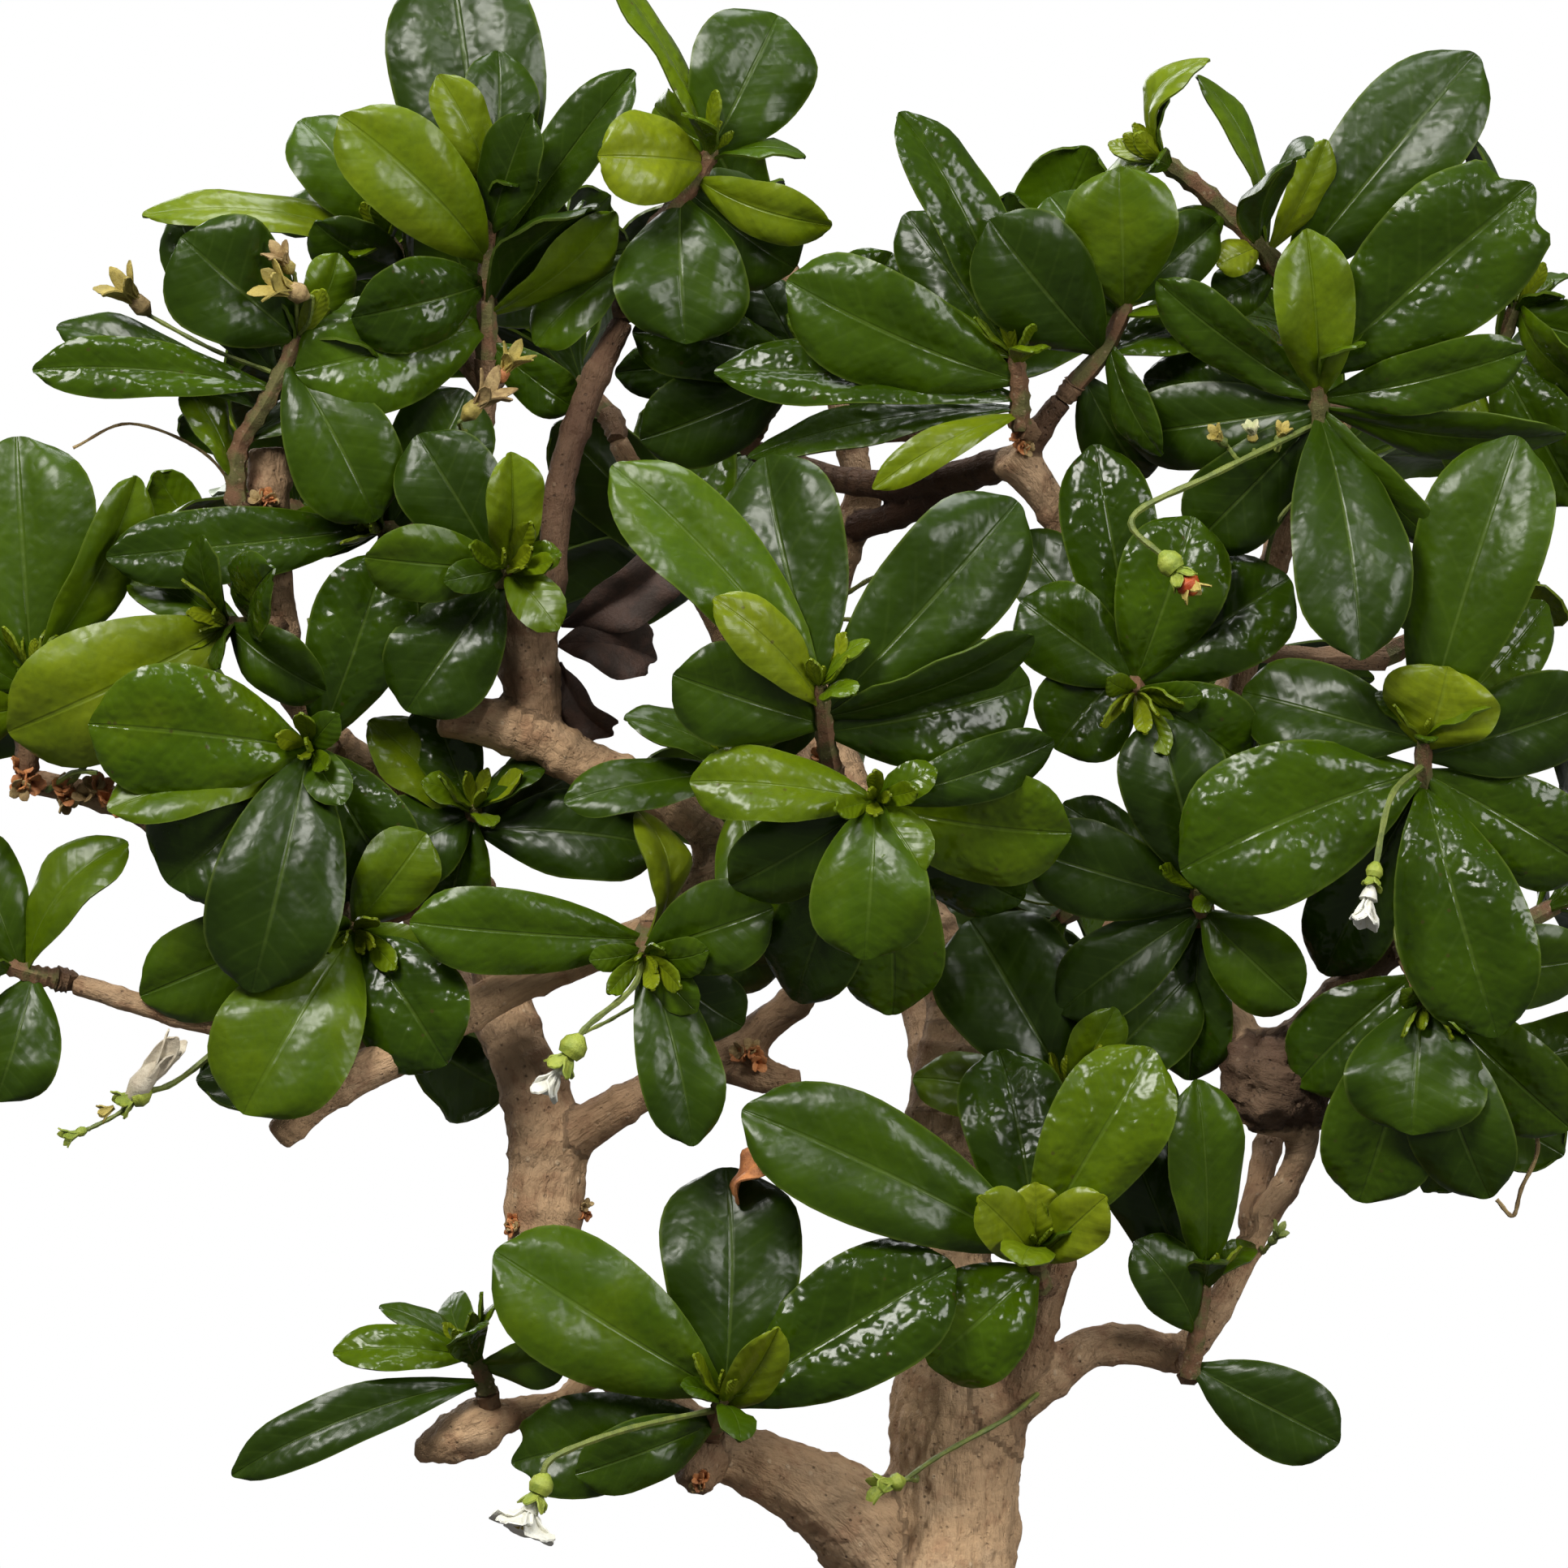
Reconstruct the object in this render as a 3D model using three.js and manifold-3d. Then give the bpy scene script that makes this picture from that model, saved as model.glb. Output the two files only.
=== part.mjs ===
// A fukien tea bonsai in a plain glazed oval pot, in millimetres, with Z up.
// The crown is laid out as it is seen from the front. A point is given as
// [across, depth, up]: across from the left side of the view, up from its lower edge,
// and depth towards the viewer. A wood point has its radius as a fourth number.

import * as THREE from "three";
import { mergeVertices } from "three/addons/utils/BufferGeometryUtils.js";
import Module from "manifold-3d";

const wasm = await Module();
wasm.setup();

// Driving dimensions
const view = { distance: 3000, centre: 96.6, foot: 130, potAcross: 100 };
const clearance = 0.3;
const pot = { length: 190, width: 134, height: 60, wall: 7, floor: 10, rimDrop: 13, plinth: 4 };
const drain = { radius: 7, spread: 42, screenSide: 22, screenThick: 1.2, slot: 7 };
const soil = { edge: 53, crown: 58 };
const ovalSteps = { pot: 28, soil: 22 };
const blade = { halfThick: 0.45, sink: 0.5, stemStart: 2, stemEnd: 1.8, stemSides: 4 };
const twig = { start: 0.8, end: 1.5, sides: 3 };
const flowerSize = { petal: 5, halfTurn: 0.34, notch: 2.4, cup: 0.35, thick: 0.7, throat: 1.8 };
const cupLip = 1.6;
const stalkRadius = 0.5;

const group = new THREE.Group();
group.name = "fukien_tea_bonsai";

// Small helpers

function seeded(seed) {
  let state = seed;
  return () => {
    state = (state + 0x6d2b79f5) | 0;
    let mixed = Math.imul(state ^ (state >>> 15), 1 | state);
    mixed = (mixed + Math.imul(mixed ^ (mixed >>> 7), 61 | mixed)) ^ mixed;
    return ((mixed ^ (mixed >>> 14)) >>> 0) / 4294967296;
  };
}

// A point of the view, moved along its line of sight to its depth
function seen([across, depth, up]) {
  const near = (view.distance - depth) / view.distance;
  const x = view.centre - view.potAcross + (across - view.centre) * near;
  const z = view.foot + view.centre + (up - view.centre) * near;
  return new THREE.Vector3(x, -depth, z);
}

function asSeen(point) {
  const near = (view.distance + point.y) / view.distance;
  const across = view.centre + (point.x - view.centre + view.potAcross) / near;
  const up = view.centre + (point.z - view.foot - view.centre) / near;
  return [across, up];
}

function solidFrom(positions, triangles) {
  const kept = triangles.filter(([a, b, c]) => a !== b && b !== c && c !== a);
  const mesh = new wasm.Mesh({
    numProp: 3,
    vertProperties: new Float32Array(positions),
    triVerts: new Uint32Array(kept.flat()),
  });
  return new wasm.Manifold(mesh);
}

function solidOf(geometry, matrix = new THREE.Matrix4()) {
  const bare = geometry.clone().applyMatrix4(matrix);
  bare.deleteAttribute("normal");
  bare.deleteAttribute("uv");
  const merged = mergeVertices(bare, 1e-4);
  const index = [...merged.index.array];
  const triangles = [];
  for (let i = 0; i < index.length; i += 3) {
    triangles.push([index[i], index[i + 1], index[i + 2]]);
  }
  return solidFrom(merged.attributes.position.array, triangles);
}

function joined(solids) {
  return solids.reduce((sum, solid) => sum.add(solid));
}

// The largest body of a join: loose scraps drop out and sealed hollows are filled
function mainBody(solid) {
  const bodies = solid.decompose();
  return bodies.reduce((best, body) => (body.volume() > best.volume() ? body : best));
}

function addNode(name, solid, material) {
  const { vertProperties, triVerts } = solid.getMesh();
  const geometry = new THREE.BufferGeometry();
  geometry.setAttribute("position", new THREE.BufferAttribute(vertProperties.slice(), 3));
  geometry.setIndex([...triVerts]);
  geometry.computeVertexNormals();
  const mesh = new THREE.Mesh(geometry, material);
  mesh.name = name;
  group.add(mesh);
}

function boxesMeet(one, other) {
  return [0, 1, 2].every((i) => one.min[i] <= other.max[i] && other.min[i] <= one.max[i]);
}

// Materials

function matte(color, roughness) {
  return new THREE.MeshStandardMaterial({ color, roughness, metalness: 0 });
}

const materials = {
  bark: matte(0xa5876a, 0.85),
  soil: matte(0x3f2f22, 0.95),
  petal: matte(0xf0efe6, 0.6),
  screen: matte(0x2b2b2b, 0.6),
  glaze: matte(0x2f4a63, 0.25),
};
const matureGreen = new THREE.Color(0x2f4a1c);
const youngGreen = new THREE.Color(0x8aa02c);

// A tapering limb along a list of centre points, with a ring of few sides at each

function limbSolid(points, radii, sides, firstWay, lastWay) {
  const last = points.length - 1;
  const ways = points.map((point, i) => {
    if (i === 0 && firstWay) return firstWay.clone();
    if (i === last && lastWay) return lastWay.clone();
    const from = points[Math.max(i - 1, 0)];
    const to = points[Math.min(i + 1, last)];
    return to.clone().sub(from).normalize();
  });
  const side = new THREE.Vector3(1, 0.13, 0.07).cross(ways[0]).normalize();
  const positions = [];
  points.forEach((point, i) => {
    side.addScaledVector(ways[i], -side.dot(ways[i])).normalize();
    const other = ways[i].clone().cross(side);
    for (let k = 0; k < sides; k += 1) {
      const angle = (2 * Math.PI * k) / sides;
      const spot = point.clone();
      spot.addScaledVector(side, radii[i] * Math.cos(angle));
      spot.addScaledVector(other, radii[i] * Math.sin(angle));
      positions.push(...spot.toArray());
    }
  });
  const triangles = [];
  for (let i = 0; i < last; i += 1) {
    for (let k = 0; k < sides; k += 1) {
      const a = i * sides + k;
      const b = i * sides + ((k + 1) % sides);
      triangles.push([a, b, b + sides], [a, b + sides, a + sides]);
    }
  }
  const top = last * sides;
  for (let k = 1; k < sides - 1; k += 1) {
    triangles.push([0, k + 1, k], [top, top + k, top + k + 1]);
  }
  return solidFrom(positions, triangles);
}

// Trunk and branches, from the root base up

const limbs = {
  trunk: [
    [105, 0, -108, 7], [105, 0, -96, 11], [105, 0, -84, 14], [105.5, 0, -73, 14], [107, 0, -60, 12],
    [109.5, 1, -43, 10.8], [113, 2, -24, 10], [116, 2, -6, 9.2], [117.3, 1, 8, 8.6],
    [118.1, 0, 18, 8.5], [118, -2, 27, 7.4], [117, -5, 38, 5.6], [115.6, -8, 54, 4.4],
    [117.6, -11, 70, 3.7], [113, -13, 81, 3.4], [104, -16, 97, 3.1], [100.6, -19, 112, 2.8],
    [103.6, -21, 125, 2.5], [107, -21, 134, 2.2],
  ],
  leftLimb: [
    [113, 0, -5, 7], [106, 3, 5, 6.8], [99.5, 6, 9.8, 5.3], [93, 8, 12.8, 4.2], [87, 9, 15.5, 3.6],
    [80, 8, 21, 3.2], [73.5, 7, 27, 3.2], [68, 6, 34, 3.5], [66.8, 5, 42, 4.9], [67.5, 4, 51, 5],
    [66, 3, 58, 4.5], [63, 2, 66, 3.8], [60.5, -1, 76, 3.2], [57, -3, 86, 2.7], [50, -1, 96, 2.3],
    [41, 2, 102, 2.2], [36, 4, 109, 2.3], [34.2, 6, 120, 2.2], [33.3, 6, 131, 2.6], [33, 6, 138, 2.8],
  ],
  cutKnob: [[88, 9, 16, 3], [86, 13, 11.5, 2.9], [85.4, 14, 9.6, 2.2]],
  sideBranch: [
    [67.5, 4, 51, 3.6], [74, 6, 55.5, 2.8], [82, 7, 60, 2.4], [89.5, 7, 63, 3.2],
    [94, 8, 66.6, 2.4], [99.4, 11, 72, 2.1], [101, 19, 83, 1.9], [102.5, 26, 93, 1.8],
  ],
  sideKnob: [[89, 7, 63, 2.6], [94, 8, 60.6, 2.3], [98.4, 9, 60.2, 1.7]],
  crossing: [
    [34, 16, 53, 2.1], [41, 16, 59, 2.6], [50, 15, 64, 2.8], [60, 13, 70, 2.6], [72, 12, 75.4, 2.5],
    [81.4, 11, 79.4, 2.2], [86.6, 11, 84.6, 2.2], [87, 11, 90.6, 2.6], [80.6, 11, 95.4, 2.9],
    [72, 10, 99, 3.2], [64.5, 10, 103, 3.4], [54.3, 11, 105.3, 2.7],
  ],
  crossingLink: [[86, 11, 88, 2.5], [94, 7, 83.5, 2.3], [103, -3, 82, 2.4], [112, -12, 80, 3]],
  fork: [[67, 9, 100, 3.4], [65.5, 9, 109, 3.6], [64.3, 9, 117, 4.1], [63.4, 9, 120, 2.6]],
  forkLeft: [[64, 9, 114, 3.2], [60.5, 6, 122, 2.5], [58.3, 4, 133, 1.8], [60, 4, 145, 1.5]],
  redStem: [
    [65.5, 9, 112, 2.8], [67.8, 9, 121, 2.1], [69, 8, 133, 1.9], [72.2, 6, 144, 1.9],
    [76.8, 4, 153.6, 1.6],
  ],
  rightLimb: [
    [119, 0, 18, 4.6], [127.5, 2, 22.4, 3.3], [134, 2, 27, 2.6], [140, 1, 27.4, 2.6],
    [145.5, 1, 26.6, 2.4], [150, 1, 32, 2], [154.6, 1, 41, 1.8], [160.2, 2, 51, 2], [159.4, 3, 58, 3.3],
  ],
  burl: [[151, 3, 61, 3.6], [154.5, 3, 60.5, 6.4], [159, 3, 59.5, 6.9], [163.4, 3, 58.5, 3.6]],
  rightUpper: [
    [158, 3, 62, 3.6], [164.6, 4, 69.4, 2.9], [171.8, 5, 77.7, 2.4], [178, 6, 86, 2.2], [184, 8, 94, 3],
  ],
  tanBranch: [
    [153, 2, 63, 3.2], [149, 0, 74, 2.3], [146, -3, 88, 2], [142, -2, 103, 1.9], [138, 2, 115.5, 1.7],
    [133.5, 3, 123, 2], [129.5, 4, 131, 2.3], [124.6, 5, 137.3, 3],
  ],
  brownBack: [[125, 4, 136.5, 2.2], [115, -5, 134, 1.9], [104, -16, 134, 1.8], [92, -12, 138, 1.4]],
  brownLow: [[122, 2, 136, 1.8], [114, -8, 131, 1.7], [105, -20, 128, 1.8]],
  darkStem: [[126, 5, 137, 2], [128.6, 6, 141, 1.6], [131, 7, 144, 1.5]],
  rightRise: [
    [146, -3, 88, 1.9], [151.5, -3, 102, 1.8], [155, 0, 118, 1.8], [160, 4, 131, 2], [164, 7, 138.5, 3.2],
  ],
  topRight: [[163, 6, 138, 2], [161.5, 1, 148, 1.5], [160, -1, 153, 1.4]],
  innerRise: [[125, 2, 20, 3], [128, 5, 29, 2.1], [130.9, 6, 38, 1.8], [132.6, 5, 47, 1.5]],
  leftSpur: [
    [74, 7, 27, 2.2], [70.5, 10, 21.5, 1.5], [64, 14, 19.2, 1.9], [58.5, 16, 17.2, 3.6],
    [54.5, 16, 15.4, 3], [51.4, 16, 14.2, 1],
  ],
  leftTwig: [[50, 14, 64, 1.8], [41, 10, 65.8, 1.5], [26, 7, 67.2, 1.6], [9, 6, 72, 1.4]],
  leftUpper: [
    [57, -3, 86, 2], [46, 0, 80, 1.8], [33, 4, 79, 1.6], [22.6, 6, 86.5, 1.6], [18.5, 7, 92.6, 1.9],
    [10, 7, 95.6, 1.8], [3.4, 7, 97, 1.7],
  ],
  backLeft: [
    [63, 1, 64, 3.2], [58, -15, 72, 2.8], [51, -31, 82, 2.4], [42, -43, 97, 2], [34, -47, 116, 1.6],
  ],
  backMiddle: [
    [117, -4, 30, 4.2], [116, -21, 47, 3.6], [114, -36, 68, 3], [104, -46, 90, 2.4], [90, -52, 114, 1.9],
    [76, -47, 139, 1.5],
  ],
  backRight: [
    [116.5, -7, 42, 3.6], [128, -24, 60, 3], [140, -39, 82, 2.5], [150, -46, 104, 2.1],
    [158, -44, 128, 1.6],
  ],
  backTop: [[107, -20, 128, 2.1], [103, -30, 146, 1.8], [98, -34, 158, 1.4]],
  rightSide: [[154, 1, 42, 1.9], [158, -10, 56, 1.8], [170, -22, 65, 1.7], [184, -28, 78, 1.5]],
};
const roots = {
  count: 5, turn: 0.5, sides: 5, height: 59, dive: 1.55, reach: 30, shorter: 0.12,
  shares: [0.1, 0.45, 0.75, 1], radii: [6.5, 4.7, 3.3, 1.8],
};

function limbSides(widest) {
  if (widest > 7) return 8;
  if (widest > 4.6) return 6;
  return widest > 3.3 ? 5 : 4;
}

function limbFrom(rows, grow = 0) {
  const radii = rows.map((row) => row[3] + grow);
  return limbSolid(rows.map(seen), radii, limbSides(Math.max(...radii) - grow));
}

// Surface roots leave the trunk's base and dive into the soil
function rootSolids(grow = 0) {
  const foot = seen(limbs.trunk[3]);
  return Array.from({ length: roots.count }, (_, i) => {
    const angle = roots.turn + (2 * Math.PI * i) / roots.count;
    const out = new THREE.Vector3(Math.cos(angle), Math.sin(angle), 0);
    const reach = roots.reach * (1 - roots.shorter * (i % 3));
    const spots = roots.shares.map((share, step) => {
      const past = share === 1 ? 2 * grow : 0;
      const drop = step * (roots.dive + roots.dive * step) + past;
      const spot = new THREE.Vector3(foot.x, 0, roots.height - drop);
      return spot.addScaledVector(out, reach * share + past);
    });
    const radii = roots.radii.map((radius) => radius + grow);
    return limbSolid(spots, radii, roots.sides);
  });
}

// Leaves. The blade is obovate: narrow at the root, widest past the middle.
// Each station is [share of the length, share of the half width].
// The rim's corners, beside the tip, follow: plain or lobed.
const largeOutline = [[0, 0], [0.3, 0.62], [0.62, 0.98], [0.88, 0.8]];
const smallOutline = [[0, 0], [0.56, 0.95]];
const largeFrom = 30;
const roundRim = [[0.86, 0.74]];
const lobedRim = [[0.97, 0.62], [0.945, 0.34]];
const bladeFrom = 0.2;

function outlineOf(leaf) {
  return leaf.length > largeFrom ? largeOutline : smallOutline;
}

function rimOf(leaf) {
  if (leaf.lobed) return lobedRim;
  return leaf.length > largeFrom ? [] : roundRim;
}

// The leaf's own directions: along it, across it and out of its upper face
function leafWays(leaf) {
  const along = leaf.tip.clone().sub(leaf.base).normalize();
  const face = leaf.face.clone();
  face.addScaledVector(along, -face.dot(along)).normalize();
  face.applyAxisAngle(along, THREE.MathUtils.degToRad(leaf.roll));
  return { along, face, across: face.clone().cross(along) };
}

// A point of the blade: share of the length, share of the half width, height over the middle
function leafPoint(leaf, ways, share, halfShare, height) {
  const reach = leaf.base.distanceTo(leaf.tip);
  const out = halfShare * leaf.width * 0.5;
  const fold = THREE.MathUtils.degToRad(leaf.fold);
  const arch = leaf.curl * reach * 4 * share * (1 - share);
  const wave = leaf.wave * out * Math.sin(9 * share + leaf.phase);
  const point = leaf.base.clone().addScaledVector(ways.along, reach * share);
  point.addScaledVector(ways.across, out * Math.cos(fold));
  return point.addScaledVector(ways.face, arch + Math.abs(out) * Math.sin(fold) + wave + height);
}

function leafSolid(leaf, grow = 0, from = -blade.sink / leaf.length) {
  const ways = leafWays(leaf);
  const reach = leaf.base.distanceTo(leaf.tip);
  const wider = 1 + (2 * grow) / leaf.width;
  const height = blade.halfThick + grow;
  const stations = outlineOf(leaf).map(([share, half], i) => [i === 0 ? from : share, half]);
  const positions = [];
  const add = (share, half, lift) => {
    positions.push(...leafPoint(leaf, ways, share, half * wider, lift).toArray());
    return positions.length / 3 - 1;
  };
  const rows = stations.map(([share, half], i) => ({
    left: i === 0 ? null : add(share, half, 0),
    right: i === 0 ? null : add(share, -half, 0),
    over: add(share, 0, height),
    under: add(share, 0, -height),
  }));
  const [root, first] = rows;
  const end = rows[rows.length - 1];
  const triangles = [
    [root.over, first.over, first.left], [root.over, first.right, first.over],
    [root.under, first.left, first.under], [root.under, first.under, first.right],
    [root.over, first.left, root.under], [root.over, root.under, first.right],
  ];
  rows.slice(2).forEach((b, i) => {
    const a = rows[i + 1];
    triangles.push([a.over, b.left, a.left], [a.over, b.over, b.left]);
    triangles.push([a.over, a.right, b.over], [a.right, b.right, b.over]);
    triangles.push([a.under, a.left, b.left], [a.under, b.left, b.under]);
    triangles.push([a.under, b.under, a.right], [a.right, b.under, b.right]);
  });
  const tip = add(1 + grow / reach, 0, 0);
  const corners = rimOf(leaf);
  const leftRim = corners.map(([share, half]) => add(share, half, 0));
  const rightRim = corners.map(([share, half]) => add(share, -half, 0));
  const rim = [end.left, ...leftRim, tip, ...rightRim.reverse(), end.right];
  for (let i = 0; i < rim.length - 1; i += 1) {
    triangles.push([end.over, rim[i + 1], rim[i]], [end.under, rim[i], rim[i + 1]]);
  }
  return solidFrom(positions, triangles);
}

// Leaves by rule: turned around the stem by the golden angle, facing out along it
const leafRule = {
  turn: 137.5, turnSpread: 40, lean: 62, leanRise: 18, leanSpread: 24, rootSpan: 0.62,
  length: 23, lengthFrom: 0.82, lengthSpread: 0.4, widthShare: 0.52, widthFrom: 0.85, widthSpread: 0.3,
  rollSpread: 40, curlFrom: 0.03, curlSpread: 0.1, foldFrom: 4, foldSpread: 14, wave: 0.12,
  toneFrom: 0.1, toneSpread: 0.35, toneRise: 0.3, lobedShare: 0.1,
};
const wavePhase = 6;
const drawnWave = 0.1;

function leavesByRule(stem, count, random) {
  const rule = leafRule;
  const way = stem[stem.length - 1].clone().sub(stem[0]).normalize();
  const side = new THREE.Vector3(0.3, 0.2, 1).cross(way).normalize();
  return Array.from({ length: count }, (_, i) => {
    const rank = i / count;
    const turn = THREE.MathUtils.degToRad(rule.turn * i + rule.turnSpread * random());
    const leanAngle = rule.lean - rule.leanRise * rank + rule.leanSpread * (random() - 0.5);
    const lean = THREE.MathUtils.degToRad(leanAngle);
    const length = rule.length * (rule.lengthFrom + rule.lengthSpread * random());
    const out = side.clone().applyAxisAngle(way, turn);
    const towards = way.clone().multiplyScalar(Math.cos(lean)).addScaledVector(out, Math.sin(lean));
    const base = alongStem(stem, 1 - rule.rootSpan * (1 - rank));
    return {
      base,
      tip: base.clone().addScaledVector(towards, length),
      face: way,
      length,
      width: length * rule.widthShare * (rule.widthFrom + rule.widthSpread * random()),
      roll: rule.rollSpread * (random() - 0.5),
      curl: rule.curlFrom + rule.curlSpread * random(),
      fold: rule.foldFrom + rule.foldSpread * random(),
      wave: rule.wave * random(),
      phase: wavePhase * random(),
      tone: rule.toneFrom + rule.toneSpread * random() * random() + rule.toneRise * rank * random(),
      lobed: random() < rule.lobedShare,
      byRule: true,
    };
  });
}

function alongStem(stem, share) {
  const spot = share * (stem.length - 1);
  const i = Math.min(Math.floor(spot), stem.length - 2);
  return stem[i].clone().lerp(stem[i + 1], spot - i);
}

// The point of the stem that a leaf's root is nearest to, as seen from the front
function rootOn(stem, across, up) {
  let best = { gap: Infinity, point: stem[0] };
  const steps = 40;
  const lowest = 5;
  for (let i = lowest; i <= steps; i += 1) {
    const point = alongStem(stem, i / steps);
    const [a, u] = asSeen(point);
    const gap = Math.hypot(a - across, u - up);
    if (gap < best.gap) best = { gap, point };
  }
  return best.point;
}

function leafFromRow(stem, row, random) {
  const [baseAcross, baseUp, tipAcross, tipUp, lift, width, roll, curl, fold, tone] = row;
  const base = rootOn(stem, baseAcross, baseUp);
  const tip = seen([tipAcross, -base.y + lift, tipUp]);
  return {
    base,
    tip,
    face: new THREE.Vector3(0, -1, 0),
    length: base.distanceTo(tip),
    width,
    roll,
    curl,
    fold,
    wave: drawnWave * random(),
    phase: wavePhase * random(),
    tone,
    lobed: row[10] === 1,
    byRule: false,
  };
}

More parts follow.
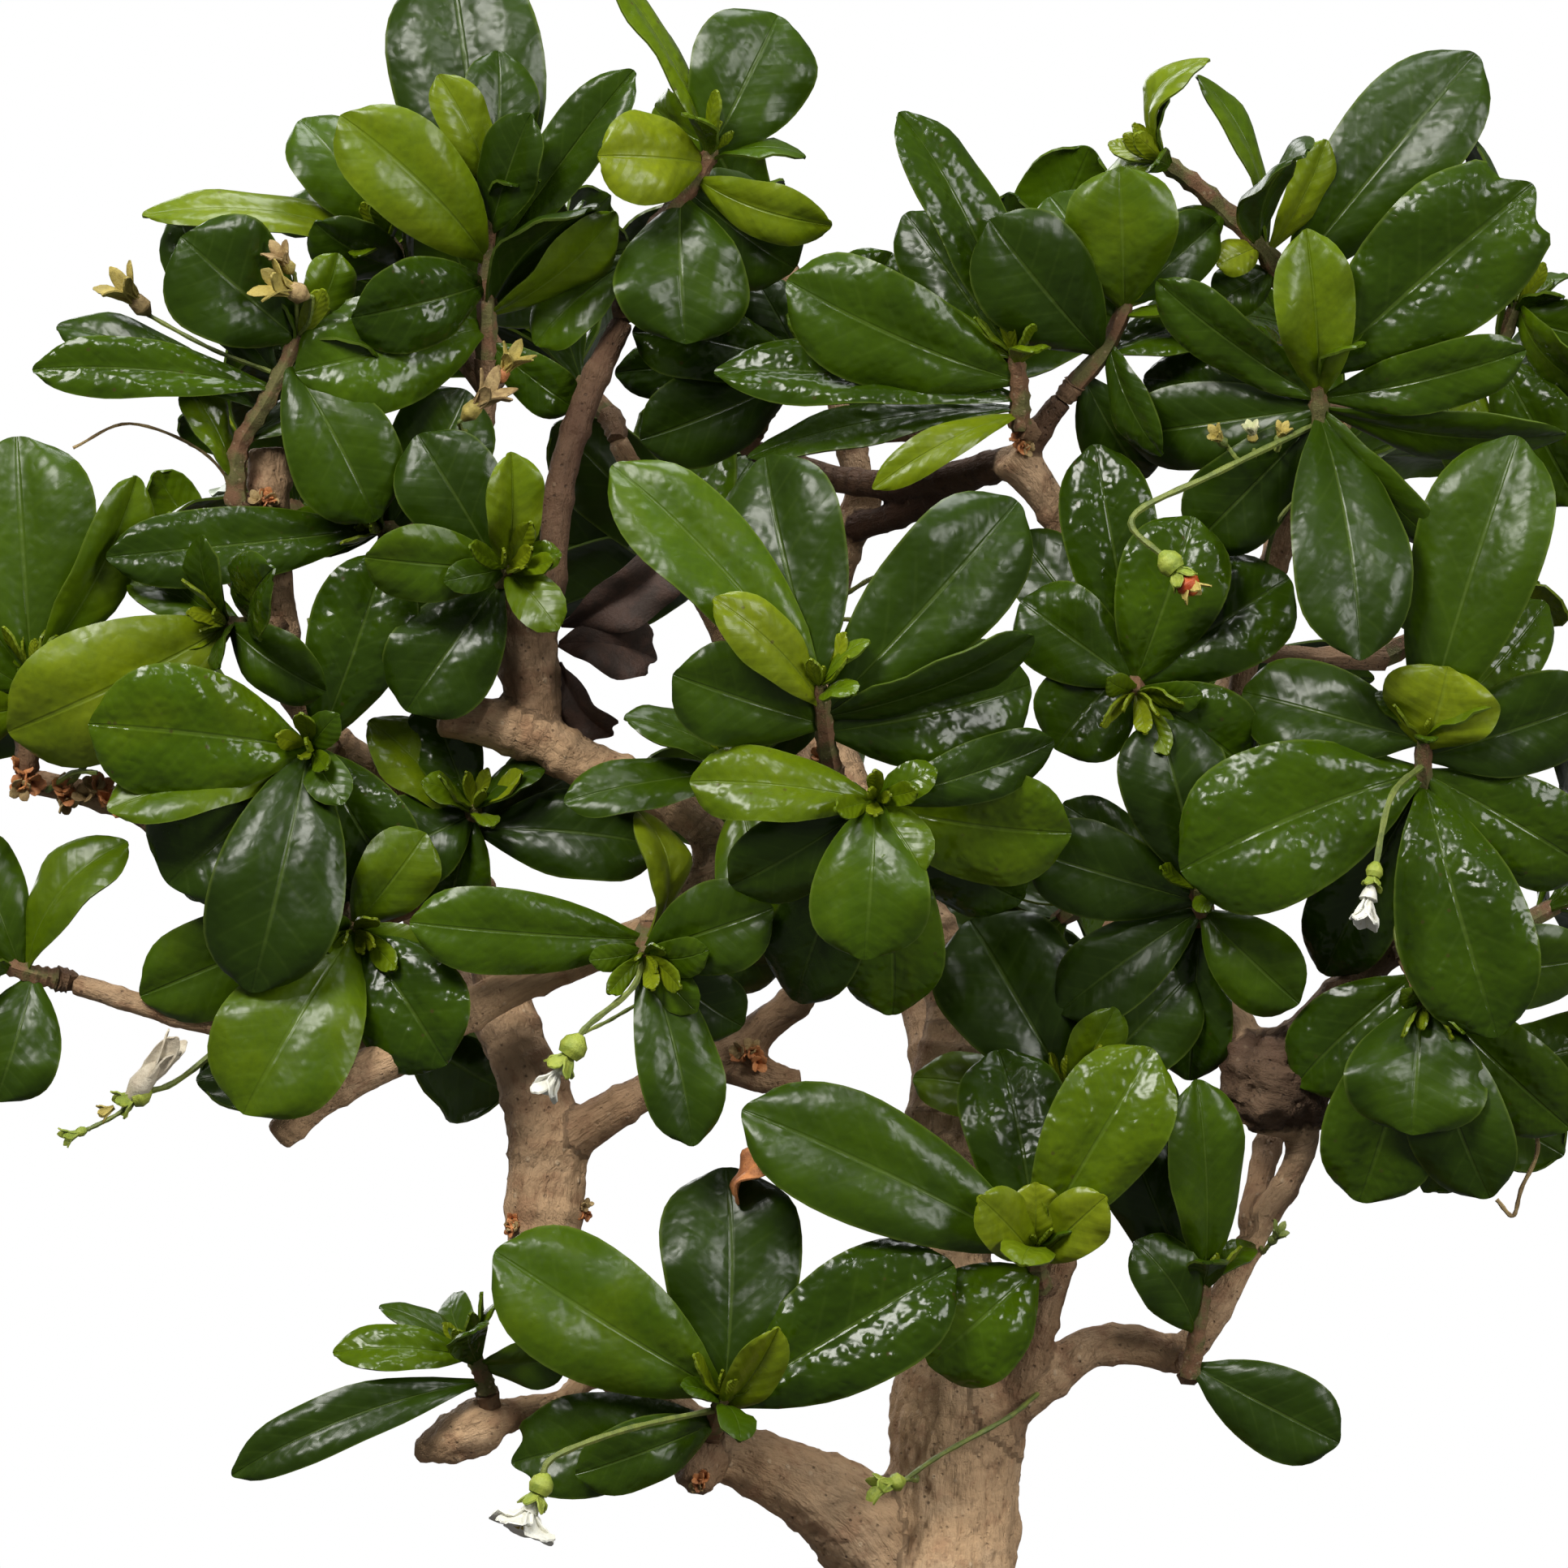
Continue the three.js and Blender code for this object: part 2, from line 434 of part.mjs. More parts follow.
// Sprays that the front shows. A leaf's row is: base across and up, tip across and up,
// the tip's lift towards the viewer, width, roll, curl, fold, tone from dark to young,
// and 1 where its tip is lobed.
const frontSprays = {
  topLeft: {
    stem: [[60, 5, 149], [60, 7, 157], [60.5, 9, 170]],
    leaves: [
      [58.5, 161, 42, 179, 10, 13, 10, 0.14, 8, 0.75],
      [60, 160, 55.4, 199, -9, 19.5, -8, 0.05, 6, 0.15],
      [61, 170, 54, 184, 5, 7, 15, 0.1, 10, 0.85],
      [61, 168, 61.5, 187, -2, 10, 20, 0.06, 10, 0.2],
      [61, 164, 66, 181, 2, 9, -30, 0.05, 12, 0.2],
      [60, 160, 78, 184.6, 5, 9, -16, 0.04, 20, 0.2],
      [60, 158, 43.5, 154, 9, 12, -12, 0.14, 4, 0.15],
      [61, 153, 36.5, 147.5, 8, 15, 6, 0.1, 6, 0.35],
      [61, 154, 76, 167, 3, 8, 48, 0.08, 10, 0.7],
      [60, 151, 70.5, 143, -4, 7, 10, 0.08, 8, 0.2],
    ],
    extra: 1,
  },
  topLeftSide: {
    stem: [[53, 1, 156], [50, 3, 160], [47.5, 4, 164]],
    leaves: [
      [48, 163, 17.5, 166.8, 4, 8, 42, 0.1, 6, 0.75],
      [50, 165, 32, 167.6, -2, 10, 62, 0.06, 6, 0.2],
      [50, 165, 37, 178.5, -1, 12, 18, 0.16, 8, 0.4],
      [50, 160, 38, 166, 6, 10, -30, 0.1, 8, 0.2],
    ],
    extra: 1,
  },
  upperLeft: {
    stem: [[29, 9, 131], [29.5, 10, 138], [33, 12, 144], [37, 12, 152]],
    leaves: [
      [38, 151, 22.5, 164, 6, 16, 10, 0.1, 6, 0.15],
      [33, 147, 21, 168.5, -6, 10, -20, 0.06, 8, 0.15],
      [34, 145, 4, 147.8, 4, 8, 22, 0.07, 14, 0.25],
      [32, 143, 7, 153.2, -6, 7.5, 40, 0.06, 8, 0.2],
      [29, 133, 23, 146, 1, 7, 50, 0.06, 8, 0.5],
      [37, 148, 46, 129.5, 5, 14, -12, 0.12, 4, 0.25],
      [37, 152, 44, 160, 5, 8, 30, 0.1, 8, 0.55],
    ],
    extra: 1,
  },
  topMiddle: {
    stem: [[77, 3, 158], [80, 5, 164], [85, 6, 170], [88, 7, 175]],
    leaves: [
      [89, 172, 72.5, 174, 8, 12, 8, 0.1, 6, 0.95],
      [88, 173, 96, 191.4, -4, 16, 8, 0.06, 6, 0.3],
      [87, 175, 74.4, 197.5, -2, 9, 66, 0.05, 6, 0.55],
      [85, 168, 84.5, 151, 6, 17, 0, 0.1, 4, 0.3],
      [88, 170, 102.5, 165.4, 5, 8, 25, 0.12, 8, 0.8],
      [88, 176, 81.5, 183.5, -3, 9, -35, 0.06, 8, 0.5],
      [79, 162, 66, 151, 3, 9, 35, 0.08, 8, 0.5],
      [84, 170, 98, 160, -4, 12, 10, 0.08, 6, 0.25],
    ],
    extra: 1,
  },
  middleTop: {
    stem: [[125.6, 9, 140.5], [125.6, 11, 145], [125, 13, 150]],
    leaves: [
      [125, 149, 111, 179.5, 3, 11, 36, 0.07, 14, 0.15],
      [124, 147, 111.5, 167, -5, 10, 0, 0.07, 6, 0.15],
      [124, 146, 97, 158.6, 5, 15, -10, 0.09, 6, 0.3],
      [124, 149, 99, 161.6, -6, 9, 30, 0.07, 8, 0.5],
      [125, 144, 88, 147.5, 2, 10, 34, 0.06, 8, 0.15],
      [125, 143, 92, 137, -4, 8, 50, 0.06, 6, 0.2],
      [125, 142, 107.5, 133, 8, 5, 20, 0.16, 8, 0.85],
      [125, 150, 133, 166, -6, 11, 10, 0.08, 6, 0.2],
    ],
    extra: 0,
  },
  middleBack: {
    stem: [[93, -9, 140.5], [96, -6, 145], [101, -3, 149]],
    leaves: [
      [99, 148, 78, 152.5, 4, 11, 20, 0.08, 6, 0.15],
      [98, 147, 79, 139, 5, 12, -10, 0.08, 6, 0.15],
      [99, 148, 75.6, 147.4, 1, 9, 10, 0.08, 6, 0.15],
      [99, 148, 93, 159, -3, 8, 10, 0.08, 6, 0.2],
      [100, 148, 110, 162, 2, 12, 10, 0.08, 6, 0.2],
      [100, 148, 117, 146, 2, 12, 20, 0.08, 6, 0.15],
    ],
    extra: 0,
  },
  upperRight: {
    stem: [[132.6, 7.4, 146], [136, 9, 150], [139, 10, 156]],
    leaves: [
      [135, 150, 120, 168, 3, 15, -8, 0.08, 6, 0.2],
      [139, 155, 138, 172.6, 8, 14, 6, 0.12, 4, 0.6],
      [138, 154, 129, 170, -5, 13, 10, 0.08, 6, 0.4],
      [133, 147, 141, 134, -6, 10, 10, 0.08, 6, 0.12],
      [137, 151, 143, 137, 3, 7, 40, 0.08, 6, 0.2],
      [139, 156, 150, 166, -4, 9, 10, 0.08, 6, 0.3],
    ],
    extra: 1,
  },
  topRight: {
    stem: [[159.4, -2, 155.4], [156, 1, 162], [149, 3, 169], [143, 4, 173.6]],
    leaves: [
      [142.6, 173.6, 149, 186, 2, 7, -62, 0.34, 10, 0.75],
      [155, 161, 147.6, 184, 3, 7, 66, 0.12, 8, 0.5],
      [158, 158, 182, 186.6, -4, 15.5, 0, 0.05, 8, 0.2],
      [156, 162, 163.5, 176, 1, 6, 40, 0.06, 8, 0.75],
      [155, 163, 150, 160.5, 4, 5, 10, 0.1, 8, 0.85],
      [151, 167, 144, 163, 2, 7, 20, 0.08, 8, 0.3],
      [157, 160, 149.6, 156, 2, 7, 10, 0.08, 8, 0.35],
    ],
    extra: 1,
  },
  rightTuft: {
    stem: [[163, 10.6, 139], [162.6, 14, 142], [162.4, 16, 148]],
    leaves: [
      [162.6, 147, 189, 170.4, 2, 19, 6, 0.06, 10, 0.2, 1],
      [161.8, 144, 161, 165, 8, 11, 4, 0.14, 18, 0.7],
      [163, 144, 188, 150, 4, 9, 16, 0.07, 14, 0.25],
      [162, 144, 142.5, 158.5, 3, 9, -22, 0.07, 12, 0.25],
      [163, 143, 178, 125.5, 3, 8, 40, 0.08, 6, 0.35],
      [162.6, 142, 168, 109.5, 5, 15, -14, 0.09, 6, 0.15],
      [163, 143, 193, 139.5, -3, 9, 50, 0.06, 6, 0.4],
      [162.4, 147, 172, 158, -8, 10, 10, 0.06, 6, 0.2],
      [162, 143, 138.5, 139.5, -7, 11, 0, 0.06, 6, 0.12],
      [162, 143, 139.5, 147, -8, 8, 10, 0.06, 6, 0.15],
      [162, 142, 147, 126, -4, 12, -10, 0.07, 6, 0.15],
    ],
    extra: 0,
  },
  rightEdge: {
    stem: [[178, -8, 140], [183, -7, 147], [187, -6, 156]],
    leaves: [
      [187, 156, 197, 145, 4, 9, 52, 0.16, 6, 0.45],
      [182, 146, 180, 137, 3, 6, 0, 0.1, 6, 0.6],
      [184, 150, 194.5, 131, 2, 12, 10, 0.1, 6, 0.3],
      [187, 154, 203, 150, 2, 10, 10, 0.1, 6, 0.3],
    ],
    extra: 2,
  },
  heartUpper: {
    stem: [[102.4, 30, 98.6], [101.6, 35, 103], [101, 39, 109]],
    leaves: [
      [100.8, 108, 75.5, 136, 0, 14, 18, 0.08, 12, 0.45],
      [101.2, 109, 94, 138, -4, 17, -6, 0.07, 8, 0.2],
      [101, 106, 86.5, 121, 5, 8, 30, 0.1, 6, 0.8],
      [101.6, 105, 125.5, 131.5, -5, 16, 6, 0.09, 6, 0.2],
      [102, 105, 127.5, 114.5, 2, 11, 58, 0.06, 6, 0.25],
      [102, 103, 128, 109, -4, 16, 6, 0.07, 6, 0.2],
      [101.4, 104, 83, 110, 6, 13, -10, 0.09, 6, 0.3],
    ],
    extra: 0,
  },
  heartLower: {
    stem: [[107.4, 26, 94.2], [107.6, 31, 94], [107.8, 37, 94.6]],
    leaves: [
      [107, 95, 106.5, 75, 3, 15, 4, 0.14, 4, 0.45],
      [107, 94, 132, 90.5, 2, 15, 8, 0.1, 6, 0.5],
      [107, 94, 110, 68, -9, 13, -10, 0.08, 4, 0.4],
      [107, 95, 85, 97, 2, 10, 20, 0.1, 6, 0.6],
      [107, 93, 98, 69.6, -12, 12, 10, 0.08, 6, 0.15],
      [107, 95, 90, 84, -4, 11, -10, 0.08, 6, 0.2],
      [107, 94, 126, 82, -8, 12, 20, 0.08, 6, 0.15],
      [107, 95, 130, 101.8, -5, 8, 10, 0.08, 6, 0.12],
    ],
    extra: 0,
  },
  greyFan: {
    stem: [[91.5, 12.5, 89], [91.3, 15, 93.5], [91, 18, 99]],
    leaves: [
      [91, 98, 69.5, 94.5, 5, 8, 34, 0.07, 8, 0.35],
      [91, 99, 77, 105, 4, 8, 48, 0.08, 8, 0.3],
      [91, 95, 95, 80, 4, 11, 10, 0.1, 6, 0.5],
      [91, 98, 99, 112, 2, 12, 12, 0.1, 6, 0.4],
    ],
    extra: 0,
  },
  crossingTuft: {
    stem: [[79.6, 14.6, 78.4], [79.6, 18, 77.4], [79.4, 22, 75.4]],
    leaves: [
      [79.5, 77, 78.5, 93.5, 1, 8, 62, 0.24, 8, 0.85],
      [79.6, 77.4, 50.5, 79.5, 5, 11, -6, 0.06, 4, 0.4],
      [79.4, 76, 96, 81.5, 5, 12, 8, 0.1, 8, 0.35],
      [79.4, 76, 85.5, 52, 3, 11, -12, 0.08, 8, 0.25],
      [79.6, 77, 98, 74, -8, 9, 20, 0.08, 6, 0.2],
      [79.5, 76, 91.5, 66.6, -4, 9, 10, 0.08, 6, 0.15],
    ],
    extra: 0,
  },
  limbTuft: {
    stem: [[57.6, 2.4, 88.6], [58, 6, 91], [58.4, 9, 94]],
    leaves: [
      [58, 91, 45.5, 104.5, 2, 9, 38, 0.07, 8, 0.6],
      [58, 93, 51, 106, -4, 9, 10, 0.06, 8, 0.15],
      [58, 91, 73, 99, -7, 12, 10, 0.07, 8, 0.15],
      [58, 91, 81.5, 89, 2, 12, -20, 0.08, 6, 0.15],
      [58, 93, 47, 88, 2, 12, 10, 0.08, 6, 0.2],
      [58, 93, 55, 79, -3, 9, 10, 0.08, 6, 0.2],
    ],
    extra: 0,
  },
  leftLower: {
    stem: [[43, 4.4, 82.6], [43.4, 9, 80.6], [43.6, 14, 78.4]],
    leaves: [
      [43.6, 79, 52.5, 90.5, 4, 10, 14, 0.1, 8, 0.6],
      [43.5, 79, 55.5, 61.5, -2, 15, 6, 0.08, 4, 0.15],
      [43.5, 78, 30, 56, 7, 18, 4, 0.12, 4, 0.6],
      [43, 81, 17.5, 70.5, -3, 13, -10, 0.07, 6, 0.45],
      [43.2, 81, 36, 97, -4, 12, 6, 0.07, 6, 0.2],
    ],
    extra: 0,
  },
  leftMiddle: {
    stem: [[40.4, 6.4, 101.4], [39.6, 11, 101], [38, 17, 101]],
    leaves: [
      [38.5, 101, 20.6, 84.4, 2, 20, 6, 0.08, 4, 0.2],
      [38, 100, 31, 71, 5, 17, -4, 0.12, 6, 0.15],
      [38, 101, 11, 104, 6, 17, 0, 0.1, 4, 0.55],
      [38.4, 100, 12, 97, 2, 10, 20, 0.07, 6, 0.65],
      [39, 101, 47.5, 125, 1, 13, 8, 0.07, 6, 0.15],
      [39, 101, 49, 84, -3, 13, 0, 0.08, 6, 0.15],
    ],
    extra: 0,
  },
  leftYoung: {
    stem: [[33, 10, 115.4], [30.5, 13, 116], [27.5, 15, 116.4]],
    leaves: [
      [28.5, 116, 1, 103, 2, 17, -6, 0.1, 4, 0.8],
      [30, 116, 15.6, 121.6, -4, 7, 30, 0.06, 6, 0.5],
      [28, 116, 40, 108, 5, 9, 20, 0.1, 6, 0.3],
    ],
    extra: 1,
  },
  leftEdgeUpper: {
    stem: [[3.4, 8, 102], [3.6, 9, 106], [4, 10, 111]],
    leaves: [
      [4, 110, 2, 139.5, -3, 19, -4, 0.05, 6, 0.4],
      [4.4, 110, 17, 134.5, 3, 10, 44, 0.05, 18, 0.6],
      [4, 108, -18, 121, 2, 11, 10, 0.08, 6, 0.4],
      [4, 106, -15, 103, 4, 12, -10, 0.08, 6, 0.6],
      [4, 107, 9, 119, -5, 7, 50, 0.06, 6, 0.3],
    ],
    extra: 2,
  },
  leftEdgeLower: {
    stem: [[7, 6, 72.6], [4, 6.6, 73.2], [0, 7, 74.4]],
    leaves: [
      [3, 73, 15.6, 89.6, 3, 10, -48, 0.16, 12, 0.6],
      [2.5, 73, -4, 91, 1, 10, 20, 0.06, 14, 0.3],
      [4, 72.5, -0.6, 57.5, 3, 12, 4, 0.1, 4, 0.3],
      [1, 74, -19, 79, 2, 11, 0, 0.08, 6, 0.35],
      [0, 74, -14, 62, 1, 11, 10, 0.08, 6, 0.3],
    ],
    extra: 0,
  },
  forkTuft: {
    stem: [[61.4, 11.6, 121.2], [62, 15, 122], [62.6, 19, 123.4]],
    leaves: [
      [62.6, 123, 45, 124.5, 5, 10, -8, 0.07, 4, 0.45],
      [62.6, 123, 63, 137.5, 5, 9, 20, 0.1, 26, 0.75],
      [62.2, 122, 51.5, 139.5, -2, 13, -8, 0.08, 6, 0.2],
      [61.8, 121.6, 50, 105.5, -2, 14, 6, 0.08, 6, 0.15],
    ],
    extra: 0,
  },
  longLeafTuft: {
    stem: [[52.4, 2, 128], [49.6, 5, 128.2], [46.4, 8, 128]],
    leaves: [
      [46.6, 128, 12.5, 124.5, 3, 10, 8, 0.03, 10, 0.15],
      [48, 128, 57.5, 145, -2, 13, 0, 0.06, 6, 0.2],
      [48, 128, 40, 141, -3, 11, 10, 0.06, 6, 0.15],
      [47, 128, 54, 113, -3, 10, 10, 0.06, 6, 0.15],
    ],
    extra: 0,
  },
  lowerTuft: {
    stem: [[87.8, 13.6, 17], [88.2, 17, 18], [89.2, 21, 21.4]],
    leaves: [
      [89.2, 22, 61, 39, 5, 17, 0, 0.07, 6, 0.55],
      [89, 21, 89.6, 49.5, -5, 18, 6, 0.08, 6, 0.15],
      [89, 20, 117.5, 37.4, 1, 17, -8, 0.06, 12, 0.15],
      [88.2, 18, 63, 13, 2, 13, 10, 0.1, 6, 0.2, 1],
      [88, 18, 71, 11.5, 7, 9, -10, 0.12, 6, 0.25],
      [88.6, 19, 97.5, 32, 4, 7, 20, 0.07, 22, 0.9],
    ],
    extra: 0,
  },
  lowerRight: {
    stem: [[128.2, 10.6, 34.6], [127.8, 14, 36.6], [127.5, 17, 40]],
    leaves: [
      [127.4, 39, 91.5, 56.5, 5, 16, 6, 0.09, 8, 0.35],
      [127.8, 40, 142, 64, 2, 15, 4, 0.08, 12, 0.5],
      [127.4, 38, 119, 47.5, 7, 8, 14, 0.07, 8, 0.9],
      [127.8, 38, 137, 46.5, 7, 8, -14, 0.07, 8, 0.9],
      [127.5, 40, 127.6, 47.5, 4, 6, 0, 0.1, 8, 0.95],
      [127.4, 40, 123, 64, -6, 14, 6, 0.08, 8, 0.15],
      [127.7, 37, 114.5, 25, 4, 15, -4, 0.1, 4, 0.4],
    ],
    extra: 0,
  },
  rightLower: {
    stem: [[146.6, 4.8, 23.6], [147.5, 6.4, 29], [148.6, 8, 36]],
    leaves: [
      [146.8, 24.5, 165, 15.4, 2, 11.5, 0, 0.04, 4, 0.15],
      [148.2, 33, 139, 54, 2, 11, -16, 0.08, 6, 0.2],
      [148.6, 36, 147.5, 61, 4, 11, 24, 0.08, 12, 0.45],
      [147.6, 29, 139.5, 41, 5, 9, 20, 0.1, 6, 0.3],
    ],
    extra: 0,
  },
  leftSpur: {
    stem: [[60, 17.6, 21.6], [59.4, 18.4, 24], [58, 19, 26.4]],
    leaves: [
      [59.4, 23, 28.5, 11.5, 3, 8, 20, 0.12, 16, 0.2],
      [58.4, 26, 41, 26.6, 2, 7, 24, 0.14, 16, 0.5],
      [58, 26.4, 46.5, 32.5, -1, 5, 40, 0.1, 10, 0.4],
      [59, 25, 70, 25.8, 2, 7, 30, 0.06, 14, 0.5],
    ],
    extra: 0,
  },
  rightHeart: {
    stem: [[176, 9.4, 92], [175.4, 14, 96], [175.4, 18, 103]],
    leaves: [
      [175.4, 101, 178.5, 111, 5, 15, 0, 0.1, 10, 0.85],
      [175.4, 97, 184.5, 65.5, 5, 17, -4, 0.09, 6, 0.2],
      [175.4, 98, 145.5, 86, 4, 20, 4, 0.08, 6, 0.3],
      [175.4, 103, 187, 139.5, 1, 17, -10, 0.07, 8, 0.4],
      [175.4, 100, 197, 107, -3, 13, 10, 0.08, 6, 0.2],
      [175.4, 102, 190.6, 119, -5, 9, 10, 0.08, 6, 0.35],
      [175.4, 102, 153, 108, -5, 13, 10, 0.08, 6, 0.2],
      [175.4, 98, 196, 86, -5, 13, 0, 0.08, 6, 0.25],
      [175.4, 97, 163, 73, -9, 12, 0, 0.08, 6, 0.15],
    ],
    extra: 0,
  },
  rightSkirt: {
    stem: [[173.4, 8.4, 75], [174.6, 12, 72.4], [175.4, 15, 69]],
    leaves: [
      [175, 70, 174, 53.5, 5, 18, 0, 0.1, 4, 0.35],
      [175, 71, 167.5, 45, -3, 15, -6, 0.08, 6, 0.3],
      [175, 70, 183.5, 45.5, -1, 13, 10, 0.1, 6, 0.3],
      [174.6, 72, 193.5, 54, -5, 12, 10, 0.08, 6, 0.35],
      [174.4, 73, 196, 75, -4, 11, 10, 0.08, 6, 0.4],
      [174.6, 73, 160, 60, -5, 12, 10, 0.08, 6, 0.2],
    ],
    extra: 0,
  },
  rightInner: {
    stem: [[148, 4, 79.4], [148, 8, 81], [147.6, 12, 84]],
    leaves: [
      [148, 81, 160, 69.5, 3, 11, 6, 0.08, 4, 0.4],
      [147.8, 82, 126.5, 88.5, 2, 12, -10, 0.08, 6, 0.15],
      [147.7, 83, 130.4, 94.6, -3, 7, 10, 0.08, 6, 0.2],
      [148, 81, 130.5, 68.5, 1, 11, 6, 0.08, 6, 0.2],
      [147.6, 84, 142.5, 105, 3, 14, 4, 0.09, 6, 0.15],
      [147.6, 84, 163, 97, -4, 12, 10, 0.08, 6, 0.2],
      [148, 80, 146.5, 60, -3, 10, 0, 0.08, 6, 0.12],
    ],
    extra: 0,
  },
  innerLeaves: {
    stem: [[132.4, 4.6, 51], [132, 6, 55], [131.4, 8, 59.6]],
    leaves: [
      [131.4, 59, 119.5, 80, 3, 18, 6, 0.07, 10, 0.15],
      [131.4, 59, 137.5, 69, 4, 7, 20, 0.08, 8, 0.6],
      [131.6, 58, 146.5, 73, -4, 13, 0, 0.08, 6, 0.2],
      [131.4, 59, 131, 79, -5, 14, 0, 0.08, 6, 0.15],
      [132, 56, 112.5, 60.5, -4, 9, 20, 0.08, 6, 0.6],
      [132, 56, 146, 55, -3, 12, 0, 0.08, 6, 0.15],
    ],
    extra: 0,
  },
  tanTuft: {
    stem: [[139.4, 5.4, 113], [139.6, 10, 110.4], [140, 14, 107.6]],
    leaves: [
      [139.8, 109, 147, 129.5, 2, 14, 0, 0.08, 8, 0.25],
      [139.8, 109, 159, 122, -3, 14, 0, 0.08, 6, 0.15],
      [139.6, 111, 130, 101, 3, 13, 8, 0.1, 6, 0.2],
      [140, 108, 155, 100.5, 1, 13, 0, 0.08, 6, 0.2],
      [139.8, 109, 126, 119, -3, 12, 0, 0.08, 6, 0.2],
      [139.6, 110, 125.4, 127.6, -6, 10, 0, 0.08, 6, 0.12],
      [139.6, 110, 135, 137, -9, 12, 0, 0.06, 6, 0.12],
    ],
    extra: 0,
  },
};

// Sprays on the sides and the back, each [foot], [end of its stem] and its number of leaves
const hiddenSprays = [
  [[31, -50, 119], [26, -60, 126], 7],
  [[40, -49, 99], [30, -60, 96], 7],
  [[54, -38, 72], [46, -52, 66], 7],
  [[22, -10, 100], [8, -26, 108], 7],
  [[40, -20, 126], [30, -30, 138], 7],
  [[75, -50, 142], [66, -58, 152], 7],
  [[87, -56, 119], [86, -70, 124], 7],
  [[104, -50, 91], [101, -66, 90], 6],
  [[62, -22, 148], [56, -32, 160], 7],
  [[97, -37, 160], [92, -44, 168], 7],
  [[118, -30, 140], [122, -42, 152], 7],
  [[150, -49, 106], [150, -64, 108], 6],
  [[159, -47, 130], [164, -58, 138], 6],
  [[136, -40, 84], [128, -56, 78], 6],
  [[172, -26, 62], [178, -38, 60], 6],
  [[185, -30, 78], [196, -36, 84], 7],
  [[170, -20, 112], [184, -28, 120], 6],
];

// Openings that show the sky between the leaves, each [across, up, radius]
const openings = [
  [72, 66, 7], [101, 64, 5], [108, 64, 5], [86, 57, 4], [76, 44, 7], [44, 44, 14], [20, 34, 20],
  [54, 48, 8], [80, 48, 6], [136, 34, 5], [166, 34, 15], [186, 30, 15], [12, 64, 8], [13, 82, 6],
  [78, 108, 6], [84, 114, 5], [75, 102, 4], [107, 115, 6], [48, 108, 4], [41, 122, 5], [18, 136, 7],
  [13, 121, 4], [24, 138, 5], [65, 86, 4], [72, 84, 4], [82, 86, 5], [62, 139, 4], [66, 147, 3],
  [133, 99, 4], [157, 122, 3], [130, 142, 4], [97, 148, 4], [136, 147, 4], [104, 180, 11],
  [107, 168, 6], [123, 182, 9], [132, 186, 9], [67, 193, 7], [40, 190, 9], [28, 182, 10],
  [14, 176, 9], [6, 163, 9], [165, 188, 12], [154, 194, 9], [193, 178, 9], [192, 118, 5],
  [10, 92, 4], [124, 83, 4], [79, 130, 3], [100, 20, 12], [122, 60, 2], [156, 177, 4],
  [191, 163, 5], [147, 176, 4], [27, 120, 3],
];

// Small stalks with a green cup, bare, or a dry fruit at the end: spray, points, cup radius
const stalks = [
  ["crossingTuft", [[79.4, 20, 76.6], [78, 24, 71.6], [72.4, 26, 66.8], [70.8, 26, 64.4]], 2.2],
  ["lowerTuft", [[88.6, 19, 19.6], [77, 29, 17], [68.2, 34, 13.6], [66.8, 34.4, 10.4]], 2],
  ["leftLower", [[43.5, 12, 79], [24, 17, 61.6], [17.4, 18, 58.4]], 1.9],
  ["rightTuft", [[162.7, 13, 141.2], [150, 22, 135], [139.5, 25, 129.4], [144, 26, 124]], 2.1],
  ["rightHeart", [[175.4, 16, 99], [171.4, 23, 95], [169.4, 26, 86]], 1.4],
];
const flowersAt = [0, 1, 2, 4];

// Where a leaf would cross another spray or the wood it is bent: the tip moves along its
// face and across it, by shares of its length, and it may end shorter.
const bends = [
  [0, 0, 1], [0.14, 0, 1], [-0.14, 0, 1], [0.28, 0, 1], [-0.28, 0, 1], [0.14, 0.14, 1],
  [-0.14, -0.14, 1], [0.14, -0.14, 1], [-0.14, 0.14, 1], [0.42, 0, 1], [-0.42, 0, 1],
  [0.3, 0.3, 0.95], [-0.3, -0.3, 0.95], [0.3, -0.3, 0.95], [-0.3, 0.3, 0.95], [0.6, 0, 0.9],
  [-0.6, 0, 0.9], [0.1, 0.5, 0.85], [0.1, -0.5, 0.85], [0, 0, 0.75], [0.3, 0, 0.7], [-0.3, 0, 0.7],
];

function bent(leaf, [lift, side, shorter]) {
  const ways = leafWays({ ...leaf, roll: 0 });
  const reach = leaf.base.distanceTo(leaf.tip);
  const tip = leaf.tip.clone();
  tip.addScaledVector(ways.face, lift * reach).addScaledVector(ways.across, side * reach);
  tip.sub(leaf.base).setLength(reach * shorter).add(leaf.base);
  return { ...leaf, tip };
}

function hidesOpening(leaf) {
  const ways = leafWays(leaf);
  const spots = [];
  [...outlineOf(leaf).slice(1), ...rimOf(leaf)].forEach(([share, half]) => {
    spots.push(leafPoint(leaf, ways, share, half, 0), leafPoint(leaf, ways, share, -half, 0));
    spots.push(leafPoint(leaf, ways, share, 0, 0));
  });
  return [...spots, leaf.tip].some((spot) => {
    const [a, u] = asSeen(spot);
    return openings.some(([across, up, radius]) => Math.hypot(a - across, u - up) < radius);
  });
}

function meet(one, other) {
  return !one.intersect(other).isEmpty();
}

const taken = [];

function takeRoom(solid) {
  taken.push({ solid, box: solid.boundingBox() });
}

function isClear(solid) {
  const box = solid.boundingBox();
  return taken.every((other) => !boxesMeet(box, other.box) || !meet(solid, other.solid));
}

